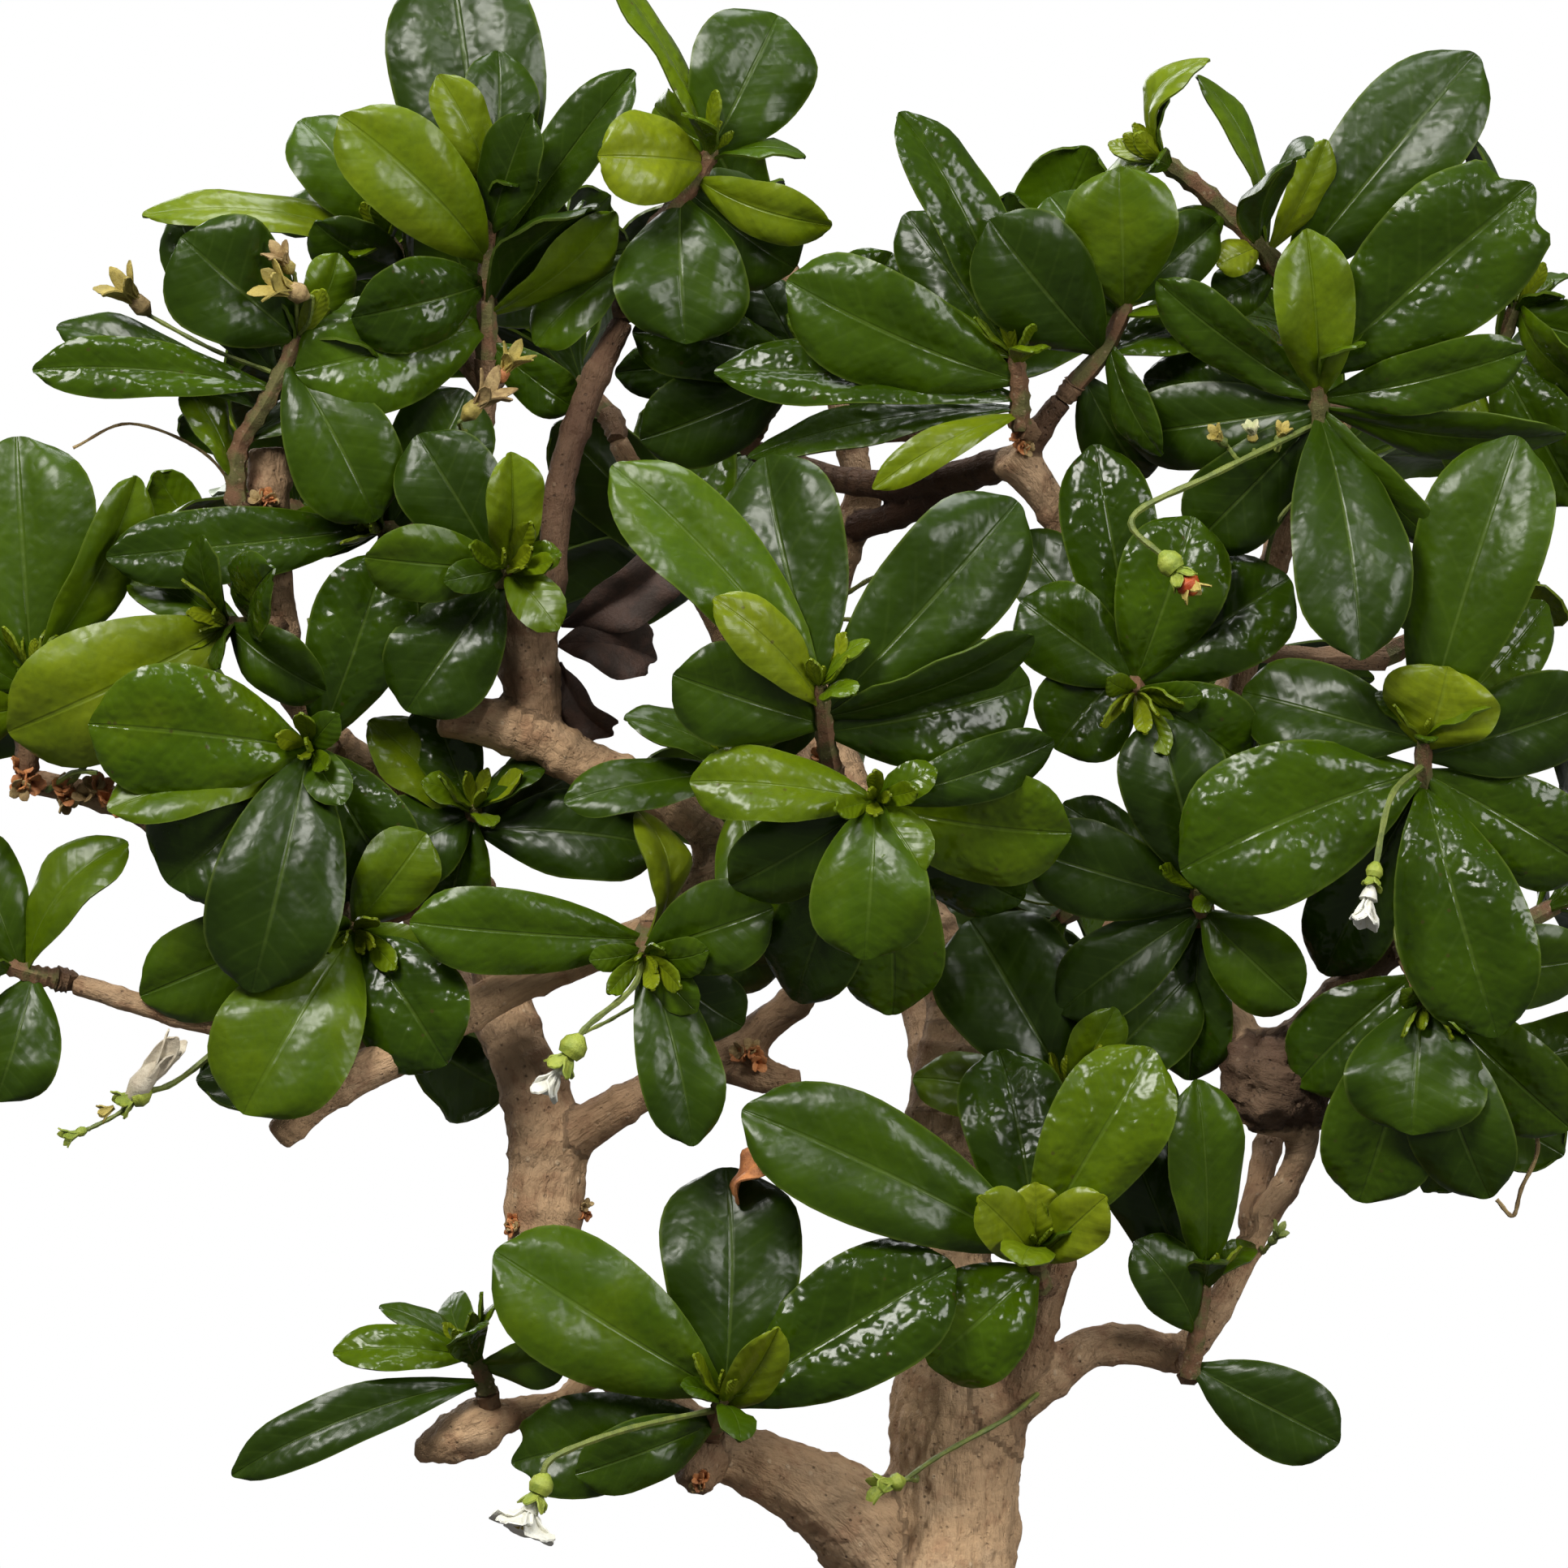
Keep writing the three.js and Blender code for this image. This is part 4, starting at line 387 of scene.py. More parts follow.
# Sprays: the stem, how many more leaves grow by rule, then a row for each leaf that the front shows:
# base across and up, tip across and up, the tip's lift to the viewer, width, roll, curl, fold and
# tone, then 1 for a lobed tip
frontSprays = {
    "topLeft": ([[60, 5, 149], [60, 7, 157], [60.5, 9, 170]], 1, [
        [58.5, 161, 42, 179, 10, 13, 10, 0.14, 8, 0.75], [60, 160, 55.4, 199, -9, 19.5, -8, 0.05, 6, 0.15],
        [61, 170, 54, 184, 5, 7, 15, 0.1, 10, 0.85], [61, 168, 61.5, 187, -2, 10, 20, 0.06, 10, 0.2],
        [61, 164, 66, 181, 2, 9, -30, 0.05, 12, 0.2], [60, 160, 78, 184.6, 5, 9, -16, 0.04, 20, 0.2],
        [60, 158, 43.5, 154, 9, 12, -12, 0.14, 4, 0.15], [61, 153, 36.5, 147.5, 8, 15, 6, 0.1, 6, 0.35],
        [61, 154, 76, 167, 3, 8, 48, 0.08, 10, 0.7], [60, 151, 70.5, 143, -4, 7, 10, 0.08, 8, 0.2]]),
    "topLeftSide": ([[53, 1, 156], [50, 3, 160], [47.5, 4, 164]], 1, [
        [48, 163, 17.5, 166.8, 4, 8, 42, 0.1, 6, 0.75], [50, 165, 32, 167.6, -2, 10, 62, 0.06, 6, 0.2],
        [50, 165, 37, 178.5, -1, 12, 18, 0.16, 8, 0.4], [50, 160, 38, 166, 6, 10, -30, 0.1, 8, 0.2]]),
    "upperLeft": ([[29, 9, 131], [29.5, 10, 138], [33, 12, 144], [37, 12, 152]], 1, [
        [38, 151, 22.5, 164, 6, 16, 10, 0.1, 6, 0.15], [33, 147, 21, 168.5, -6, 10, -20, 0.06, 8, 0.15],
        [34, 145, 4, 147.8, 4, 8, 22, 0.07, 14, 0.25], [32, 143, 7, 153.2, -6, 7.5, 40, 0.06, 8, 0.2],
        [29, 133, 23, 146, 1, 7, 50, 0.06, 8, 0.5], [37, 148, 46, 129.5, 5, 14, -12, 0.12, 4, 0.25],
        [37, 152, 44, 160, 5, 8, 30, 0.1, 8, 0.55]]),
    "topMiddle": ([[77, 3, 158], [80, 5, 164], [85, 6, 170], [88, 7, 175]], 1, [
        [89, 172, 72.5, 174, 8, 12, 8, 0.1, 6, 0.95], [88, 173, 96, 191.4, -4, 16, 8, 0.06, 6, 0.3],
        [87, 175, 74.4, 197.5, -2, 9, 66, 0.05, 6, 0.55], [85, 168, 84.5, 151, 6, 17, 0, 0.1, 4, 0.3],
        [88, 170, 102.5, 165.4, 5, 8, 25, 0.12, 8, 0.8], [88, 176, 81.5, 183.5, -3, 9, -35, 0.06, 8, 0.5],
        [79, 162, 66, 151, 3, 9, 35, 0.08, 8, 0.5], [84, 170, 98, 160, -4, 12, 10, 0.08, 6, 0.25]]),
    "middleTop": ([[125.6, 9, 140.5], [125.6, 11, 145], [125, 13, 150]], 0, [
        [125, 149, 111, 179.5, 3, 11, 36, 0.07, 14, 0.15], [124, 147, 111.5, 167, -5, 10, 0, 0.07, 6, 0.15],
        [124, 146, 97, 158.6, 5, 15, -10, 0.09, 6, 0.3], [124, 149, 99, 161.6, -6, 9, 30, 0.07, 8, 0.5],
        [125, 144, 88, 147.5, 2, 10, 34, 0.06, 8, 0.15], [125, 143, 92, 137, -4, 8, 50, 0.06, 6, 0.2],
        [125, 142, 107.5, 133, 8, 5, 20, 0.16, 8, 0.85], [125, 150, 133, 166, -6, 11, 10, 0.08, 6, 0.2]]),
    "middleBack": ([[93, -9, 140.5], [96, -6, 145], [101, -3, 149]], 0, [
        [99, 148, 78, 152.5, 4, 11, 20, 0.08, 6, 0.15], [98, 147, 79, 139, 5, 12, -10, 0.08, 6, 0.15],
        [99, 148, 75.6, 147.4, 1, 9, 10, 0.08, 6, 0.15], [99, 148, 93, 159, -3, 8, 10, 0.08, 6, 0.2],
        [100, 148, 110, 162, 2, 12, 10, 0.08, 6, 0.2], [100, 148, 117, 146, 2, 12, 20, 0.08, 6, 0.15]]),
    "upperRight": ([[132.6, 7.4, 146], [136, 9, 150], [139, 10, 156]], 1, [
        [135, 150, 120, 168, 3, 15, -8, 0.08, 6, 0.2], [139, 155, 138, 172.6, 8, 14, 6, 0.12, 4, 0.6],
        [138, 154, 129, 170, -5, 13, 10, 0.08, 6, 0.4], [133, 147, 141, 134, -6, 10, 10, 0.08, 6, 0.12],
        [137, 151, 143, 137, 3, 7, 40, 0.08, 6, 0.2], [139, 156, 150, 166, -4, 9, 10, 0.08, 6, 0.3]]),
    "topRight": ([[159.4, -2, 155.4], [156, 1, 162], [149, 3, 169], [143, 4, 173.6]], 1, [
        [142.6, 173.6, 149, 186, 2, 7, -62, 0.34, 10, 0.75], [155, 161, 147.6, 184, 3, 7, 66, 0.12, 8, 0.5],
        [158, 158, 182, 186.6, -4, 15.5, 0, 0.05, 8, 0.2], [156, 162, 163.5, 176, 1, 6, 40, 0.06, 8, 0.75],
        [155, 163, 150, 160.5, 4, 5, 10, 0.1, 8, 0.85], [151, 167, 144, 163, 2, 7, 20, 0.08, 8, 0.3],
        [157, 160, 149.6, 156, 2, 7, 10, 0.08, 8, 0.35]]),
    "rightTuft": ([[163, 10.6, 139], [162.6, 14, 142], [162.4, 16, 148]], 0, [
        [162.6, 147, 189, 170.4, 2, 19, 6, 0.06, 10, 0.2, 1],
        [161.8, 144, 161, 165, 8, 11, 4, 0.14, 18, 0.7], [163, 144, 188, 150, 4, 9, 16, 0.07, 14, 0.25],
        [162, 144, 142.5, 158.5, 3, 9, -22, 0.07, 12, 0.25],
        [163, 143, 178, 125.5, 3, 8, 40, 0.08, 6, 0.35],
        [162.6, 142, 168, 109.5, 5, 15, -14, 0.09, 6, 0.15],
        [163, 143, 193, 139.5, -3, 9, 50, 0.06, 6, 0.4], [162.4, 147, 172, 158, -8, 10, 10, 0.06, 6, 0.2],
        [162, 143, 138.5, 139.5, -7, 11, 0, 0.06, 6, 0.12],
        [162, 143, 139.5, 147, -8, 8, 10, 0.06, 6, 0.15], [162, 142, 147, 126, -4, 12, -10, 0.07, 6, 0.15]]),
    "rightEdge": ([[178, -8, 140], [183, -7, 147], [187, -6, 156]], 2, [
        [187, 156, 197, 145, 4, 9, 52, 0.16, 6, 0.45], [182, 146, 180, 137, 3, 6, 0, 0.1, 6, 0.6],
        [184, 150, 194.5, 131, 2, 12, 10, 0.1, 6, 0.3], [187, 154, 203, 150, 2, 10, 10, 0.1, 6, 0.3]]),
    "heartUpper": ([[102.4, 30, 98.6], [101.6, 35, 103], [101, 39, 109]], 0, [
        [100.8, 108, 75.5, 136, 0, 14, 18, 0.08, 12, 0.45], [101.2, 109, 94, 138, -4, 17, -6, 0.07, 8, 0.2],
        [101, 106, 86.5, 121, 5, 8, 30, 0.1, 6, 0.8], [101.6, 105, 125.5, 131.5, -5, 16, 6, 0.09, 6, 0.2],
        [102, 105, 127.5, 114.5, 2, 11, 58, 0.06, 6, 0.25], [102, 103, 128, 109, -4, 16, 6, 0.07, 6, 0.2],
        [101.4, 104, 83, 110, 6, 13, -10, 0.09, 6, 0.3]]),
    "heartLower": ([[107.4, 26, 94.2], [107.6, 31, 94], [107.8, 37, 94.6]], 0, [
        [107, 95, 106.5, 75, 3, 15, 4, 0.14, 4, 0.45], [107, 94, 132, 90.5, 2, 15, 8, 0.1, 6, 0.5],
        [107, 94, 110, 68, -9, 13, -10, 0.08, 4, 0.4], [107, 95, 85, 97, 2, 10, 20, 0.1, 6, 0.6],
        [107, 93, 98, 69.6, -12, 12, 10, 0.08, 6, 0.15], [107, 95, 90, 84, -4, 11, -10, 0.08, 6, 0.2],
        [107, 94, 126, 82, -8, 12, 20, 0.08, 6, 0.15], [107, 95, 130, 101.8, -5, 8, 10, 0.08, 6, 0.12]]),
    "greyFan": ([[91.5, 12.5, 89], [91.3, 15, 93.5], [91, 18, 99]], 0, [
        [91, 98, 69.5, 94.5, 5, 8, 34, 0.07, 8, 0.35], [91, 99, 77, 105, 4, 8, 48, 0.08, 8, 0.3],
        [91, 95, 95, 80, 4, 11, 10, 0.1, 6, 0.5], [91, 98, 99, 112, 2, 12, 12, 0.1, 6, 0.4]]),
    "crossingTuft": ([[79.6, 14.6, 78.4], [79.6, 18, 77.4], [79.4, 22, 75.4]], 0, [
        [79.5, 77, 78.5, 93.5, 1, 8, 62, 0.24, 8, 0.85], [79.6, 77.4, 50.5, 79.5, 5, 11, -6, 0.06, 4, 0.4],
        [79.4, 76, 96, 81.5, 5, 12, 8, 0.1, 8, 0.35], [79.4, 76, 85.5, 52, 3, 11, -12, 0.08, 8, 0.25],
        [79.6, 77, 98, 74, -8, 9, 20, 0.08, 6, 0.2], [79.5, 76, 91.5, 66.6, -4, 9, 10, 0.08, 6, 0.15]]),
    "limbTuft": ([[57.6, 2.4, 88.6], [58, 6, 91], [58.4, 9, 94]], 0, [
        [58, 91, 45.5, 104.5, 2, 9, 38, 0.07, 8, 0.6], [58, 93, 51, 106, -4, 9, 10, 0.06, 8, 0.15],
        [58, 91, 73, 99, -7, 12, 10, 0.07, 8, 0.15], [58, 91, 81.5, 89, 2, 12, -20, 0.08, 6, 0.15],
        [58, 93, 47, 88, 2, 12, 10, 0.08, 6, 0.2], [58, 93, 55, 79, -3, 9, 10, 0.08, 6, 0.2]]),
    "leftLower": ([[43, 4.4, 82.6], [43.4, 9, 80.6], [43.6, 14, 78.4]], 0, [
        [43.6, 79, 52.5, 90.5, 4, 10, 14, 0.1, 8, 0.6], [43.5, 79, 55.5, 61.5, -2, 15, 6, 0.08, 4, 0.15],
        [43.5, 78, 30, 56, 7, 18, 4, 0.12, 4, 0.6], [43, 81, 17.5, 70.5, -3, 13, -10, 0.07, 6, 0.45],
        [43.2, 81, 36, 97, -4, 12, 6, 0.07, 6, 0.2]]),
    "leftMiddle": ([[40.4, 6.4, 101.4], [39.6, 11, 101], [38, 17, 101]], 0, [
        [38.5, 101, 20.6, 84.4, 2, 20, 6, 0.08, 4, 0.2], [38, 100, 31, 71, 5, 17, -4, 0.12, 6, 0.15],
        [38, 101, 11, 104, 6, 17, 0, 0.1, 4, 0.4], [38.4, 100, 12, 97, 2, 10, 20, 0.07, 6, 0.65],
        [39, 101, 47.5, 125, 1, 13, 8, 0.07, 6, 0.15], [39, 101, 49, 84, -3, 13, 0, 0.08, 6, 0.15]]),
    "leftYoung": ([[33, 10, 115.4], [30.5, 13, 116], [27.5, 15, 116.4]], 1, [
        [28.5, 116, 1, 103, 2, 17, -6, 0.1, 4, 0.8], [30, 116, 15.6, 121.6, -4, 7, 30, 0.06, 6, 0.5],
        [28, 116, 40, 108, 5, 9, 20, 0.1, 6, 0.3]]),
    "leftEdgeUpper": ([[3.4, 8, 102], [3.6, 9, 106], [4, 10, 111]], 2, [
        [4, 110, 2, 139.5, -3, 19, -4, 0.05, 6, 0.4], [4.4, 110, 17, 134.5, 3, 10, 44, 0.05, 18, 0.6],
        [4, 108, -18, 121, 2, 11, 10, 0.08, 6, 0.4], [4, 106, -15, 103, 4, 12, -10, 0.08, 6, 0.6],
        [4, 107, 9, 119, -5, 7, 50, 0.06, 6, 0.3]]),
    "leftEdgeLower": ([[7, 6, 72.6], [4, 6.6, 73.2], [0, 7, 74.4]], 0, [
        [3, 73, 15.6, 89.6, 3, 10, -48, 0.16, 12, 0.6], [2.5, 73, -4, 91, 1, 10, 20, 0.06, 14, 0.3],
        [4, 72.5, -0.6, 57.5, 3, 12, 4, 0.1, 4, 0.3], [1, 74, -19, 79, 2, 11, 0, 0.08, 6, 0.35],
        [0, 74, -14, 62, 1, 11, 10, 0.08, 6, 0.3]]),
    "forkTuft": ([[61.4, 11.6, 121.2], [62, 15, 122], [62.6, 19, 123.4]], 0, [
        [62.6, 123, 45, 124.5, 5, 10, -8, 0.07, 4, 0.45], [62.6, 123, 63, 137.5, 5, 9, 20, 0.1, 26, 0.75],
        [62.2, 122, 51.5, 139.5, -2, 13, -8, 0.08, 6, 0.2],
        [61.8, 121.6, 50, 105.5, -2, 14, 6, 0.08, 6, 0.15]]),
    "longLeafTuft": ([[52.4, 2, 128], [49.6, 5, 128.2], [46.4, 8, 128]], 0, [
        [46.6, 128, 12.5, 124.5, 3, 10, 8, 0.03, 10, 0.15], [48, 128, 57.5, 145, -2, 13, 0, 0.06, 6, 0.2],
        [48, 128, 40, 141, -3, 11, 10, 0.06, 6, 0.15], [47, 128, 54, 113, -3, 10, 10, 0.06, 6, 0.15]]),
    "lowerTuft": ([[87.8, 13.6, 17], [88.2, 17, 18], [89.2, 21, 21.4]], 0, [
        [89.2, 22, 61, 39, 5, 17, 0, 0.07, 6, 0.55], [89, 21, 89.6, 49.5, -5, 18, 6, 0.08, 6, 0.15],
        [89, 20, 117.5, 37.4, 1, 17, -8, 0.06, 12, 0.15], [88.2, 18, 63, 13, 2, 13, 10, 0.1, 6, 0.2, 1],
        [88, 18, 71, 11.5, 7, 9, -10, 0.12, 6, 0.25], [88.6, 19, 97.5, 32, 4, 7, 20, 0.07, 22, 0.9]]),
    "lowerRight": ([[128.2, 10.6, 34.6], [127.8, 14, 36.6], [127.5, 17, 40]], 0, [
        [127.4, 39, 91.5, 56.5, 5, 16, 6, 0.09, 8, 0.35], [127.8, 40, 142, 64, 2, 15, 4, 0.08, 12, 0.5],
        [127.4, 38, 119, 47.5, 7, 8, 14, 0.07, 8, 0.9], [127.8, 38, 137, 46.5, 7, 8, -14, 0.07, 8, 0.9],
        [127.5, 40, 127.6, 47.5, 4, 6, 0, 0.1, 8, 0.95], [127.4, 40, 123, 64, -6, 14, 6, 0.08, 8, 0.15],
        [127.7, 37, 114.5, 25, 4, 15, -4, 0.1, 4, 0.4]]),
    "rightLower": ([[146.6, 4.8, 23.6], [147.5, 6.4, 29], [148.6, 8, 36]], 0, [
        [146.8, 24.5, 165, 15.4, 2, 11.5, 0, 0.04, 4, 0.15], [148.2, 33, 139, 54, 2, 11, -16, 0.08, 6, 0.2],
        [148.6, 36, 147.5, 61, 4, 11, 24, 0.08, 12, 0.45], [147.6, 29, 139.5, 41, 5, 9, 20, 0.1, 6, 0.3]]),
    "leftSpur": ([[60, 17.6, 21.6], [59.4, 18.4, 24], [58, 19, 26.4]], 0, [
        [59.4, 23, 28.5, 11.5, 3, 8, 20, 0.12, 16, 0.2], [58.4, 26, 41, 26.6, 2, 7, 24, 0.14, 16, 0.5],
        [58, 26.4, 46.5, 32.5, -1, 5, 40, 0.1, 10, 0.4], [59, 25, 70, 25.8, 2, 7, 30, 0.06, 14, 0.5]]),
    "rightHeart": ([[176, 9.4, 92], [175.4, 14, 96], [175.4, 18, 103]], 0, [
        [175.4, 101, 178.5, 111, 5, 15, 0, 0.1, 10, 0.85],
        [175.4, 97, 184.5, 65.5, 5, 17, -4, 0.09, 6, 0.2], [175.4, 98, 145.5, 86, 4, 20, 4, 0.08, 6, 0.3],
        [175.4, 103, 187, 139.5, 1, 17, -10, 0.07, 8, 0.4],
        [175.4, 100, 197, 107, -3, 13, 10, 0.08, 6, 0.2],
        [175.4, 102, 190.6, 119, -5, 9, 10, 0.08, 6, 0.35],
        [175.4, 102, 153, 108, -5, 13, 10, 0.08, 6, 0.2], [175.4, 98, 196, 86, -5, 13, 0, 0.08, 6, 0.25],
        [175.4, 97, 163, 73, -9, 12, 0, 0.08, 6, 0.15]]),
    "rightSkirt": ([[173.4, 8.4, 75], [174.6, 12, 72.4], [175.4, 15, 69]], 0, [
        [175, 70, 174, 53.5, 5, 18, 0, 0.1, 4, 0.35], [175, 71, 167.5, 45, -3, 15, -6, 0.08, 6, 0.3],
        [175, 70, 183.5, 45.5, -1, 13, 10, 0.1, 6, 0.3], [174.6, 72, 193.5, 54, -5, 12, 10, 0.08, 6, 0.35],
        [174.4, 73, 196, 75, -4, 11, 10, 0.08, 6, 0.4], [174.6, 73, 160, 60, -5, 12, 10, 0.08, 6, 0.2]]),
    "rightInner": ([[148, 4, 79.4], [148, 8, 81], [147.6, 12, 84]], 0, [
        [148, 81, 160, 69.5, 3, 11, 6, 0.08, 4, 0.4], [147.8, 82, 126.5, 88.5, 2, 12, -10, 0.08, 6, 0.15],
        [147.7, 83, 130.4, 94.6, -3, 7, 10, 0.08, 6, 0.2], [148, 81, 130.5, 68.5, 1, 11, 6, 0.08, 6, 0.2],
        [147.6, 84, 142.5, 105, 3, 14, 4, 0.09, 6, 0.15], [147.6, 84, 163, 97, -4, 12, 10, 0.08, 6, 0.2],
        [148, 80, 146.5, 60, -3, 10, 0, 0.08, 6, 0.12]]),
    "innerLeaves": ([[132.4, 4.6, 51], [132, 6, 55], [131.4, 8, 59.6]], 0, [
        [131.4, 59, 119.5, 80, 3, 18, 6, 0.07, 10, 0.15], [131.4, 59, 137.5, 69, 4, 7, 20, 0.08, 8, 0.6],
        [131.6, 58, 146.5, 73, -4, 13, 0, 0.08, 6, 0.2], [131.4, 59, 131, 79, -5, 14, 0, 0.08, 6, 0.15],
        [132, 56, 112.5, 60.5, -4, 9, 20, 0.08, 6, 0.6], [132, 56, 146, 55, -3, 12, 0, 0.08, 6, 0.15]]),
    "tanTuft": ([[139.4, 5.4, 113], [139.6, 10, 110.4], [140, 14, 107.6]], 0, [
        [139.8, 109, 147, 129.5, 2, 14, 0, 0.08, 8, 0.25], [139.8, 109, 159, 122, -3, 14, 0, 0.08, 6, 0.15],
        [139.6, 111, 130, 101, 3, 13, 8, 0.1, 6, 0.2], [140, 108, 155, 100.5, 1, 13, 0, 0.08, 6, 0.2],
        [139.8, 109, 126, 119, -3, 12, 0, 0.08, 6, 0.2],
        [139.6, 110, 125.4, 127.6, -6, 10, 0, 0.08, 6, 0.12],
        [139.6, 110, 135, 137, -9, 12, 0, 0.06, 6, 0.12]]),
}

# Sprays on the sides and the back: foot, end of the stem, number of leaves
hiddenSprays = [
    [[31, -50, 119], [26, -60, 126], 7], [[40, -49, 99], [30, -60, 96], 7],
    [[54, -38, 72], [46, -52, 66], 7], [[22, -10, 100], [8, -26, 108], 7],
    [[40, -20, 126], [30, -30, 138], 7], [[75, -50, 142], [66, -58, 152], 7],
    [[87, -56, 119], [86, -70, 124], 7], [[104, -50, 91], [101, -66, 90], 6],
    [[62, -22, 148], [56, -32, 160], 7], [[97, -37, 160], [92, -44, 168], 7],
    [[118, -30, 140], [122, -42, 152], 7], [[150, -49, 106], [150, -64, 108], 6],
    [[159, -47, 130], [164, -58, 138], 6], [[136, -40, 84], [128, -56, 78], 6],
    [[172, -26, 62], [178, -38, 60], 6], [[185, -30, 78], [196, -36, 84], 7],
    [[170, -20, 112], [184, -28, 120], 6],
]

# Flower stalks: spray, points, cup radius
stalks = [
    ["crossingTuft", [[79.4, 20, 76.6], [78, 24, 71.6], [72.4, 26, 66.8], [70.8, 26, 64.4]], 2.2],
    ["lowerTuft", [[88.6, 19, 19.6], [77, 29, 17], [68.2, 34, 13.6], [66.8, 34.4, 10.4]], 2],
    ["leftLower", [[43.5, 12, 79], [24, 17, 61.6], [17.4, 18, 58.4]], 1.9],
    ["rightTuft", [[162.7, 13, 141.2], [150, 22, 135], [139.5, 25, 129.4], [144, 26, 124]], 2.1],
    ["rightHeart", [[175.4, 16, 99], [171.4, 23, 95], [169.4, 26, 86]], 1.4],
]

# Where a leaf is bent clear of its neighbours: by lift, to the side, and shorter
bends = [
    [0, 0, 1], [0.14, 0, 1], [-0.14, 0, 1], [0.28, 0, 1], [-0.28, 0, 1], [0.14, 0.14, 1], [-0.14, -0.14, 1],
    [0.14, -0.14, 1], [-0.14, 0.14, 1], [0.42, 0, 1], [-0.42, 0, 1], [0.3, 0.3, 0.95], [-0.3, -0.3, 0.95],
    [0.3, -0.3, 0.95], [-0.3, 0.3, 0.95], [0.6, 0, 0.9], [-0.6, 0, 0.9], [0.1, 0.5, 0.85],
    [0.1, -0.5, 0.85], [0, 0, 0.75], [0.3, 0, 0.7], [-0.3, 0, 0.7],
]

# Leaves: obovate blades, modelled once flat and then bent into place one by one

leafSettings = {
    "thick": 0.34,
    "outline": [(0, 0.08), (0.06, 0.2), (0.18, 0.5), (0.35, 0.79), (0.52, 0.95), (0.68, 1), (0.8, 0.94),
                (0.88, 0.82), (0.94, 0.65), (0.975, 0.49), (1, 0.3)],
    "lobedTip": [(0.94, 0.74), (0.975, 0.63), (1, 0.46)], "lobeDepth": 0.05, "lobeWave": 2.6,
    "roundTip": 0.035, "tipRows": 1.35, "pillow": 0.034, "recurve": 0.065,
    "full": [(0, 0), (0.25, 1), (0.9, 1), (1, 0.6)],
    "twist": 1.1, "twistFrom": 0.35, "bow": 0.16, "ripple": 0.052, "waves": 9,
    "tipDroop": 0.6, "droopFrom": 0.75, "droopTone": 1.2,
    "turn": 137.5, "turnSpread": 40, "lean": 62, "leanRise": 18, "leanSpread": 24,
    "rootSpan": 0.62, "rootSteps": 40, "firstRoot": 5,
    "length": 23, "lengthSpan": (0.82, 0.4), "widthShare": 0.52, "widthSpan": (0.85, 0.3),
    "rollSpread": 40, "curl": (0.03, 0.1), "fold": (4, 14),
    "wave": 0.12, "drawnWave": 0.1, "phase": 6,
    "toneFrom": 0.1, "toneSpread": 0.35, "toneRise": 0.3, "lobedShare": 0.1,
    "marks": [(1, 0), (0.62, 0.98), (0.56, 0.95)], "markGap": 0.04,
    "seed": 11, "seedStep": 7, "ownSeed": 900,
}
ls = leafSettings


# A flat blade of length 1: x is the share of its half width, y the share of its length
def leafPattern(across, along, lobed=False):
    bpy.ops.mesh.primitive_grid_add(x_subdivisions=across, y_subdivisions=along, size=2)
    blade = picked()
    co = pointsOf(blade.data)
    run = smoothRun(ls["outline"][:-3] + ls["lobedTip"] if lobed else ls["outline"], 6)
    h = -co[:, 0]
    s = 1 - (0.5 - co[:, 1] / 2) ** ls["tipRows"]
    co[:, 0] = h * np.interp(s, run[:, 0], run[:, 1])
    co[:, 1] = s - ls["roundTip"] * h ** 2 * s ** 4
    if lobed:
        co[:, 1] += ls["lobeDepth"] * (np.cos(ls["lobeWave"] * math.pi * co[:, 0]) - 1) / 2 * s ** 5
    h = np.abs(h)
    full = np.interp(s, *zip(*ls["full"]))  # each half of the blade is a low pillow
    co[:, 2] = (ls["pillow"] * 4 * h * (1 - h) - ls["recurve"] * h ** 4) * full
    setPoints(blade.data, co)
    return blade


def leafWays(leaf):
    along = unit(leaf["tip"] - leaf["base"])
    face = unit(leaf["face"] - along * np.dot(leaf["face"], along))
    face = turned(face, along, math.radians(leaf["roll"]))
    return along, face, np.cross(face, along)


# Points of a bent blade from shares of its length and half width and a height
def bladePoints(leaf, share, half, height):
    along, face, across = leafWays(leaf)
    reach = np.linalg.norm(leaf["tip"] - leaf["base"])
    out = half * leaf["width"] / 2
    fold = math.radians(leaf["fold"])
    rise = (leaf["curl"] * reach * 4 * share * (1 - share) + np.abs(out) * math.sin(fold)
            + leaf["wave"] * out * np.sin(ls["waves"] * share + leaf["phase"]) + height)
    return (leaf["base"] + np.outer(reach * share, along) + np.outer(out * math.cos(fold), across)
            + np.outer(rise, face))


def bentLeaf(leaf, bend):
    lift, side, shorter = bend
    along, face, across = leafWays({**leaf, "roll": 0})
    reach = np.linalg.norm(leaf["tip"] - leaf["base"])
    tip = leaf["tip"] + face * lift * reach + across * side * reach
    return {**leaf, "tip": leaf["base"] + unit(tip - leaf["base"]) * reach * shorter}


# The bend that the solid leaf has: its tip, or else one of its sides, is a point of the node
def bendOf(leaf, tree):
    for share, half in ls["marks"]:
        for bend in bends:
            trial = bentLeaf(leaf, bend)
            spots = bladePoints(trial, np.array([share, share]), np.array([half, -half]), 0)
            if any(tree.find(Vector(spot * mm))[2] < ls["markGap"] * mm for spot in spots):
                return trial
    return None


def alongStem(stem, share):
    spot = share * (len(stem) - 1)
    i = min(int(spot), len(stem) - 2)
    return stem[i] + (stem[i + 1] - stem[i]) * (spot - i)


